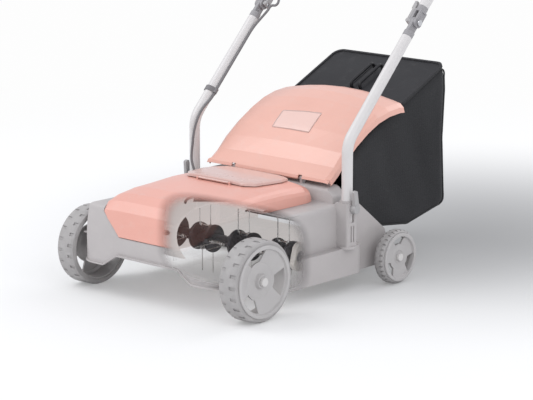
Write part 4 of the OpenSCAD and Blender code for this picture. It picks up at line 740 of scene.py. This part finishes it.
@dataclass
class CatchBag:
    """Cloth catch bag with its frame, hard top panel and piping.

    The outline's points and the middle are millimetres behind the front axle and above the ground. The other
    sizes are metres. The outline starts at the top of the mouth and ends at its foot. The hard top covers its
    first points, so the piping leaves them out.
    """

    side: tuple[Pair, ...] = (
        (404, 276), (462, 320), (520, 346), (578, 374), (700, 430), (738, 448.5), (747, 449), (754, 443),
        (757, 400), (751, 282), (759, 137), (757, 128.5), (747, 121), (620, 92.6), (500, 107), (414, 107))
    middle: Pair = (590, 260)
    covered_points: int = 3
    half: float = 0.167
    edge_round: float = 0.012
    wall: float = 0.0014
    cell: float = 0.006
    mouth_depth: float = 0.010
    mouth_rim: float = 0.004
    mouth_span: Pair = (0.03, 0.985)
    side_sag: float = 0.0099
    side_crease: float = 0.0022
    floor_sag: float = 0.004
    floor_ripple: float = 0.0012
    rear_sag: float = 0.004
    rear_ripple: float = 0.0016
    top_sag: float = 0.006
    top_ripple: float = 0.0012
    piping_radius: float = 0.0021
    piping_inset: float = 0.0035
    piping_step: float = 0.016

    def outline(self, inset: float = 0.0) -> list[Vector]:
        """Give the bag's side outline as points in the plane of the middle.

        Args:
            inset: Metres that each point is drawn towards the bag's middle.

        Returns:
            The points, in order round the outline.
        """
        centre = machine(0, *self.middle)
        points = [machine(0, y, z) for y, z in self.side]
        return [p + (centre - p).normalized() * inset for p in points]

    def shell(self) -> bmesh.types.BMesh:
        """Make the closed block of the bag's cloth, with rounded side edges."""
        bm = bmesh.new()
        ring = [bm.verts.new(p - Vector((self.half, 0, 0))) for p in self.outline()]
        face = bm.faces.new(ring)
        grown = bmesh.ops.extrude_face_region(bm, geom=[face])
        moved = [g for g in grown["geom"] if isinstance(g, bmesh.types.BMVert)]
        bmesh.ops.translate(bm, verts=moved, vec=(2 * self.half, 0, 0))
        if len(bm.faces) == len(ring) + 1:
            bm.faces.new(ring)
        bmesh.ops.recalc_face_normals(bm, faces=bm.faces)
        rim = [e for e in bm.edges if abs(e.verts[0].co.x - e.verts[1].co.x) < 1e-6]
        bmesh.ops.bevel(bm, geom=rim, offset=self.edge_round, offset_type="OFFSET", segments=4, profile=0.5,
                        affect="EDGES", material=-1)
        return bm

    def slack(self, p: Vector) -> Vector:
        """Say how far cloth at a point hangs away from the taut block.

        The stretches in which each face hangs are millimetres of the drawing. The bag is about 300 high from
        110 and about 320 long from 420, and its top's soft part runs 174 from the mouth.

        Args:
            p: A point of the taut bag.

        Returns:
            The move, in metres.
        """
        y = (p.y - AXLE_Y) * 1000
        z = p.z * 1000
        rise = clamp((z - 110) / 300)
        run = clamp((y - 420) / 320)
        tall, long = math.sin(math.pi * rise), math.sin(math.pi * run)
        width = math.cos(min(1.0, abs(p.x) / self.half) * math.pi / 2)
        out = Vector((0, 0, 0))
        flank = clamp((abs(p.x) - self.half + 0.016) / 0.014)
        if flank > 0:
            crease = (math.sin(y / 17.0 + z / 41.0 + math.copysign(0.7, p.x))
                      + math.sin(z / 23.0 - y / 57.0 + 1.3)) / 2
            gather = math.exp(-((run - 0.86) / 0.12) ** 2) + 0.8 * math.exp(-((rise - 0.12) / 0.14) ** 2)
            inward = self.side_sag + self.side_crease * crease * (0.6 + gather)
            out.x -= math.copysign(1, p.x) * flank * tall * long * inward
        if z < 150 and 430 < y < 748:
            low = clamp((150 - z) / 40)
            ripple = self.floor_ripple * math.sin(y / 19.0 + p.x * 22)
            out.z -= low * width * (self.floor_sag * long - ripple)
        if y > 735 and 130 < z < 440:
            rear = clamp((y - 735) / 14)
            out.y -= rear * width * tall * (self.rear_sag + self.rear_ripple * math.sin(p.x * 75 + z / 33.0))
        if z > 270 and y < 578:
            dip = math.sin(math.pi * clamp((y - 404) / 174))
            out.z -= width * dip * (self.top_sag + self.top_ripple * math.sin(y / 14.0 + p.x * 31))
        return out

    def in_mouth(self, face: bmesh.types.BMFace) -> bool:
        """Tell whether a face of the block closes the mouth: it looks forwards, within the mouth's rim."""
        top, foot = machine(0, *self.side[0]), machine(0, *self.side[-1])
        c = face.calc_center_median()
        share = (c.z - foot.z) / (top.z - foot.z)
        front = foot.y + (top.y - foot.y) * share
        return (c.y < front + self.mouth_depth and self.mouth_span[0] < share < self.mouth_span[1]
                and abs(c.x) < self.half - self.mouth_rim and face.normal.y < -0.3)

    def cloth(self, finish: bpy.types.Material) -> None:
        """Make the cloth that replaces the CAD bag.

        Args:
            finish: The cloth's material.
        """
        raw = bpy.data.meshes.new("bag_block")
        bm = self.shell()
        bm.to_mesh(raw)
        bm.free()
        block = bpy.data.objects.new("bag_block", raw)
        remesh = block.modifiers.new("even cells", "REMESH")
        remesh.mode = "VOXEL"
        remesh.voxel_size = self.cell
        bm = bmesh.new()
        bm.from_mesh(settle(block))
        relax(bm, 0.5)
        bmesh.ops.delete(bm, geom=[f for f in bm.faces if self.in_mouth(f)], context="FACES")
        for v in bm.verts:
            v.co += self.slack(v.co)
        relax(bm, 0.4)
        bmesh.ops.solidify(bm, geom=bm.faces[:], thickness=self.wall)
        layer = bm.loops.layers.uv.new("cloth")
        for f in bm.faces:
            axis = max(range(3), key=lambda i: abs(f.normal[i]))
            first, second = [i for i in range(3) if i != axis]
            for loop in f.loops:
                loop[layer].uv = (loop.vert.co[first], loop.vert.co[second])
        made = piece("bag_cloth_shell", bm, finish, "catch_bag")
        dress(finish, "bag_fabric")
        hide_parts("bag_fabric")

    def piping(self, finish: bpy.types.Material) -> None:
        """Sew a piping round both sides of the bag, over the joins of its cloth.

        Args:
            finish: The piping's material.
        """
        for sign, side in ((-1, "left"), (1, "right")):
            corners = self.outline(self.piping_inset)[self.covered_points:]
            route = []
            for start, end in zip(corners, corners[1:]):
                steps = max(1, round((end - start).length / self.piping_step))
                route += [start.lerp(end, i / steps) for i in range(steps)]
            x = sign * (self.half - self.piping_inset)
            route = [Vector((x, p.y, p.z)) for p in route + [corners[-1]]]
            tube(route, self.piping_radius, f"bag_piping_{side}", finish, "catch_bag", 2)

    def dress(self) -> None:
        """Build the soft pieces and give the hard ones their finishes."""
        self.cloth(WovenCloth("bag cloth", shade(23, 23, 26)).make())
        self.piping(Rubber("bag piping", shade(24, 24, 26), 0.6, 0.1).make())
        dress(Moulding("bag panel black", shade(27, 26, 30), 0.5, grain=600.0, grain_depth=0.0001,
                       rub=0.35, dust=0.03).make(), "bag_top_panel", "bag_grip")
        dress(Steel("frame wire", (0.5, 0.5, 0.51), 0.3).make(), "bag_frame")


@dataclass
class Handle:
    """Lower tubes, fold joint, upper bow, foam grip and the switch, in millimetres.

    Each pair of end_round is a distance from the grip's end and how far its foam is under its radius there.
    """

    grip_start: float = -58.0
    grip_end: float = 169.0
    grip_radius: float = 17.0
    grip_bore: float = 12.6
    end_round: tuple[Pair, ...] = ((0.0, 2.2), (0.7, 0.8), (2.4, 0.0))
    waves: int = 30
    wave_depth: float = 0.35
    wave_angle: float = 1.9

    def profile(self) -> list[Pair]:
        """Give the foam's outline as places along the crossbar and distances from its axis."""
        inset = self.end_round[-1][0]
        length = self.grip_end - self.grip_start - 2 * inset
        near = [(self.grip_start + along, self.grip_radius - down) for along, down in self.end_round]
        far = [(self.grip_end - along, self.grip_radius - down) for along, down in self.end_round]
        waved = []
        for i in range(1, self.waves):
            swell = math.sin(i * self.wave_angle) * math.sin(math.pi * i / self.waves)
            waved.append((self.grip_start + inset + length * i / self.waves,
                          self.grip_radius - self.wave_depth * swell))
        return [(self.grip_start, self.grip_bore), *near, *waved, *reversed(far),
                (self.grip_end, self.grip_bore)]

    def foam(self, finish: bpy.types.Material) -> None:
        """Make the foam sleeve with its softened ends.

        Args:
            finish: The foam's material.
        """
        bm = bmesh.new()
        axis = handle_point(0, 0, UPPER_L)
        verts = [bm.verts.new(handle_point(x, -off, UPPER_L)) for x, off in self.profile()]
        edges = [bm.edges.new(pair) for pair in zip(verts, verts[1:] + verts[:1])]
        bmesh.ops.spin(bm, geom=verts + edges, cent=axis, axis=(1, 0, 0), angle=2 * math.pi, steps=40,
                       use_merge=True)
        close(bm)
        made = piece("foam_sleeve", bm, finish, "handle_top")
        dress(finish, "foam_grip")
        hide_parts("foam_grip")

    def dress(self) -> None:
        """Build the foam and give the handle's nodes their finishes."""
        self.foam(Foam("grip foam", shade(50, 50, 53)).make())
        dress(PowderCoat("tube paint", shade(210, 207, 206)).make(),
              "handle_tube_left", "handle_tube_right", "upper_handle")
        dress(Moulding("fitting grey", shade(150, 148, 150), 0.45).make(), "fold_tongues", "fold_forks")
        dress(Moulding("fitting black", shade(60, 59, 62), 0.48).make(), "switch_box", "cable_clips_upper")
        dress(Moulding("clip grey", shade(120, 118, 120), 0.5).make(), "cable_clips_lower")
        dress(Moulding("clamp grey", shade(166, 164, 164), 0.45).make(),
              "foot_clamp_left", "foot_clamp_right", "fold_lever_left", "fold_lever_right")
        dress(Steel("bail wire", (0.16, 0.16, 0.17), 0.35, metallic=0.7).make(), "bail_bar")
        dress(Moulding("lock button red", shade(196, 72, 56), 0.35).make(), "lock_button")


@dataclass
class Wiring:
    """Switch cable and the leads under the hood, each on one smooth curve, in millimetres.

    In the deck a route's points are the drawing's. On the left leg they are distances further in than the
    clips hold the cable, and distances up the tube: from the fold, or down from the crossbar near the switch.
    The cable's quarter turn in to the fold ends at turn_in. It crosses the fold on the fold's own axis, from
    lower_end to upper_end, and its quarter turn out starts at turn_out.
    """

    cable: float = 3.0
    lead: float = 2.4
    in_deck: tuple[Point, ...] = (
        (60, 75, 147), (60, 84, 147), (56, 96, 149), (44, 110, 154), (26, 122, 160), (0, 129, 165),
        (-30, 131, 169), (-62, 131, 173), (-84, 135, 179), (-97, 144, 185), (-104, 158, 189),
        (-107, 175, 190), (-109, 195, 190.5), (-113, 213, 190.5), (-122, 228, 190), (-138, 237, 190),
        (-158, 240, 190), (-180, 240, 190), (-196, 240, 190), (-203, 244, 190), (-205, 255, 190),
        (-205, 271, 190), (-205, 282, 191), (-205, 287, 196), (-205, 288, 206), (-206, 288, 216),
        (-210, 287, 229), (-216, 288, 244), (-219, 291, 262), (-219, 294, 282), (-219, 297, 302),
        (-219, 303, 322), (-219, 313, 342), (-219, 327, 360))
    battery_lead: tuple[Point, ...] = (
        (30, 149, 192), (32, 143, 191), (38, 134, 186), (48, 122, 176), (60, 108, 163), (74, 94, 153),
        (85, 82, 148), (87, 75, 147.5))
    motor_lead: tuple[Point, ...] = (
        (19.5, 40, 147), (12, 40, 147), (6, 42, 147.5), (2, 49, 150), (0, 57, 156), (-3, 63, 161),
        (-8, 65, 163), (-12.6, 65, 163))
    beside_tube: float = 15.8
    clipped_below: range = range(-278, -101, 22)
    to_fold: tuple[Pair, ...] = ((1, -70), (4, -54), (8, -40), (12, -26), (14.6, -14))
    turn: float = 7.0
    turn_in: float = 22.0
    lower_end: float = 23.4
    upper_end: float = 23.7
    turn_out: float = 25.1
    from_fold: tuple[Pair, ...] = (
        (31, 13), (28, 20), (23.5, 27), (19.4, 34), (16.4, 42), (14.4, 50), (11, 58), (5.5, 67), (1.4, 76),
        (0, 86))
    clipped_above: range = range(110, 481, 30)
    to_switch: tuple[Pair, ...] = (
        (1, 97), (5, 87), (14, 79), (28, 73), (46, 69), (64, 66), (80, 63), (91, 60), (97, 57), (98, 54.5),
        (98, 52.4))

    def along_leg(self, off: float, up: float) -> Vector:
        """Give a point beside the left leg.

        Args:
            off: Millimetres further in than the clips hold the cable.
            up: Millimetres up the tube from the fold joint.

        Returns:
            The point in the shared frame.
        """
        return handle_point(-LEG_X + self.beside_tube + off, 0, up)

    def quarter(self) -> list[Pair]:
        """Give the points of a quarter turn: how far it has come round, and how far it has still to go."""
        angles = [math.pi / 2 * i / 4 for i in range(5)]
        return [(self.turn * math.sin(a), self.turn * math.cos(a)) for a in angles]

    def lower_route(self) -> list[Vector]:
        """Lead the switch cable from the controller up the leg and into the fold's axis."""
        route = [machine(*p) for p in self.in_deck]
        route += [self.along_leg(0, up) for up in self.clipped_below]
        route += [self.along_leg(off, up) for off, up in self.to_fold]
        route += [self.along_leg(self.turn_in - left, done - self.turn) for done, left in self.quarter()]
        return route + [self.along_leg(self.lower_end, 0)]

    def upper_route(self) -> list[Vector]:
        """Lead the switch cable out of the fold's axis and up the handle to the switch."""
        route = [self.along_leg(self.upper_end, 0)]
        route += [self.along_leg(self.turn_out + done, self.turn - left) for done, left in self.quarter()]
        route += [self.along_leg(off, up) for off, up in self.from_fold]
        route += [self.along_leg(0, up) for up in self.clipped_above]
        return route + [self.along_leg(off, UPPER_L - down) for off, down in self.to_switch]

    def dress(self) -> None:
        """Lay the cables over their CAD solids."""
        sheath = Rubber("cable sheath", shade(112, 110, 112), 0.5, 0.15, WINDOW).make()
        dress(sheath, "switch_cable_lower", "switch_cable_upper", "power_leads")
        cable, lead = self.cable / 1000, self.lead / 1000
        lower = tube(self.lower_route(), cable, "switch_cable_run_lower", sheath, "chassis")
        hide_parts("switch_cable_lower")
        upper = tube(self.upper_route(), cable, "switch_cable_run_upper", sheath, "handle_top")
        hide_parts("switch_cable_upper")
        to_battery = [machine(*p) for p in self.battery_lead]
        battery = tube(to_battery, lead, "battery_lead", sheath, "chassis")
        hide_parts("power_leads")
        to_motor = [machine(*p) for p in self.motor_lead]
        tube(to_motor, lead, "motor_lead", sheath, "chassis")


@dataclass
class Studio:
    """Pale floor with a painted shadow behind the machine and painted shade and light near it, backdrop tone,
    soft lamps and the photograph's camera, in metres.
    """

    focal_px: float = 2317.0
    camera_spot: Point = (3.488, -3.523, 1.317)
    sensor: float = 36.0
    floor_half: float = 12.0
    paper: tuple[Colour, Colour] = ((0.87, 0.87, 0.87), (0.91, 0.91, 0.91))
    # Painted shadow: a soft grey spot on the floor behind the machine, in the floor's colour and in its glow,
    # standing in for shade.
    painted_shadow_middle: Point = (0.05, 0.6, 0.0)
    painted_shadow_reach: float = 1.2
    painted_shadow_strength: float = 0.72
    painted_shadow_grey: Colour = (0.24, 0.24, 0.245)
    # Glow of the floor, seen only by the camera: plain white far off, and near the machine a painted grey
    # shade, whose share there also lifts the real shadows as painted light.
    near_glow: Colour = (0.985, 0.985, 0.985)
    painted_shade_glow: Colour = (0.8, 0.8, 0.8)
    painted_shadow_glow: Colour = (0.2, 0.2, 0.205)
    painted_shade_reach: Pair = (0.5, 1.5)
    painted_light_reach: Pair = (0.7, 2.6)
    painted_light_share: float = 0.34
    sky: Colour = (0.93, 0.95, 1.0)
    sky_strength: float = 0.8
    backdrop: Colour = (1.0, 1.0, 1.0)
    lamps: tuple[tuple[str, Point, float, float], ...] = (
        ("key", (-2.4, -2.2, 3.4), 80.0, 2.6), ("fill", (3.2, -1.4, 2.2), 38.0, 3.0),
        ("back", (0.6, 3.2, 3.0), 40.0, 2.4))
    aim: Point = (0.0, 0.0, 0.3)

    def paper_with_painted_shadow(self) -> bpy.types.Material:
        """Make the floor's pale paper, with a painted soft grey shadow behind the machine and painted shade
        and light near it.
        """
        r = Recipe("floor paper with painted shadow")
        fibre = r.noise(900.0, 2.0)
        here = r.here()
        # Painted shadow: the floor's colour and glow turn grey round a spot behind the machine.
        off_painted_shadow = r.vector("DISTANCE", here, self.painted_shadow_middle).outputs["Value"]
        painted_shadow = r.ramp(off_painted_shadow, 0.0, self.painted_shadow_reach, self.painted_shadow_strength, 0.0)
        far = r.vector("LENGTH", here).outputs["Value"]
        # Painted shade: the glow turns grey near the machine, where a part of it also lifts the real shadows
        # as painted light; far off the glow is plain white.
        pale = r.mix(r.ramp(far, *self.painted_shade_reach, 1.0, 0.0), self.near_glow, self.painted_shade_glow)
        glow = r.node("Emission", Color=r.mix(painted_shadow, pale, self.painted_shadow_glow), Strength=1.0)
        to_eye = r.tree.nodes.new("ShaderNodeLightPath").outputs["Is Camera Ray"]
        share = r.maths("MULTIPLY", r.ramp(far, *self.painted_light_reach, self.painted_light_share, 1.0), to_eye)
        r.put(r.output.inputs["Surface"], r.layer(share, r.shader, glow))
        return r.finish(Base_Color=r.mix(painted_shadow, r.mix(fibre, *self.paper), self.painted_shadow_grey),
                        Roughness=0.9, Specular_IOR_Level=0.15)

    def floor(self) -> None:
        """Lay the floor."""
        bm = bmesh.new()
        bmesh.ops.create_grid(bm, x_segments=2, y_segments=2, size=self.floor_half)
        mesh = bpy.data.meshes.new("studio_floor")
        bm.to_mesh(mesh)
        bm.free()
        obj = bpy.data.objects.new("studio_floor", mesh)
        bpy.context.scene.collection.objects.link(obj)
        mesh.materials.append(self.paper_with_painted_shadow())

    def world(self) -> None:
        """Set the even sky that lights the machine and the white backdrop that the camera sees."""
        world = bpy.data.worlds.new("studio")
        bpy.context.scene.world = world
        world.use_nodes = True
        tree = world.node_tree
        tree.nodes.clear()
        out = tree.nodes.new("ShaderNodeOutputWorld")
        mix = tree.nodes.new("ShaderNodeMixShader")
        path = tree.nodes.new("ShaderNodeLightPath")
        seen = tree.nodes.new("ShaderNodeMath")
        seen.operation = "MAXIMUM"
        tree.links.new(path.outputs["Is Camera Ray"], seen.inputs[0])
        tree.links.new(path.outputs["Is Transmission Ray"], seen.inputs[1])
        tree.links.new(seen.outputs[0], mix.inputs[0])
        for index, colour, strength in ((1, self.sky, self.sky_strength), (2, self.backdrop, 1.0)):
            light = tree.nodes.new("ShaderNodeBackground")
            light.inputs["Color"].default_value = (*colour, 1.0)
            light.inputs["Strength"].default_value = strength
            tree.links.new(light.outputs[0], mix.inputs[index])
        tree.links.new(mix.outputs[0], out.inputs["Surface"])

    def light(self) -> None:
        """Hang the large soft lamps."""
        for name, spot, power, size in self.lamps:
            lamp = bpy.data.lights.new(name, "AREA")
            lamp.energy = power
            lamp.size = size
            obj = bpy.data.objects.new(name, lamp)
            obj.location = spot
            obj.rotation_euler = (Vector(self.aim) - Vector(spot)).to_track_quat("-Z", "Y").to_euler()
            bpy.context.scene.collection.objects.link(obj)

    def camera(self) -> None:
        """Stand the camera where the photograph was taken."""
        x, y, z = self.camera_spot
        data = bpy.data.cameras.new("photo_camera")
        data.sensor_fit = "HORIZONTAL"
        data.sensor_width = self.sensor
        data.lens = self.focal_px / PHOTO_WIDTH * self.sensor
        data.clip_end = 60.0
        obj = bpy.data.objects.new("photo_camera", data)
        obj.location = (x, AXLE_Y + y, z)
        obj.rotation_euler = (math.pi / 2 - VIEW_EL, 0.0, VIEW_AZ)
        bpy.context.scene.collection.objects.link(obj)
        bpy.context.scene.camera = obj

    def build(self) -> None:
        """Set up the whole stage."""
        bpy.context.scene.view_settings.view_transform = "Standard"
        bpy.context.scene.cycles.transparent_max_bounces = 32
        self.camera()
        self.floor()
        self.world()
        self.light()


def main() -> None:
    """Dress the machine, build its soft pieces and set the stage."""
    Studio().build()
    housing = Housing()
    housing.dress()
    housing.label()
    Drive().dress()
    RunningGear().dress()
    CatchBag().dress()
    Handle().dress()
    Wiring().dress()
    left = [n for n, o in frame["nodes"].items() if not o.data.materials or not o.data.materials[0].use_nodes]
    log.info("nodes without a finish: %s", left)


if __name__ == "__main__":
    main()
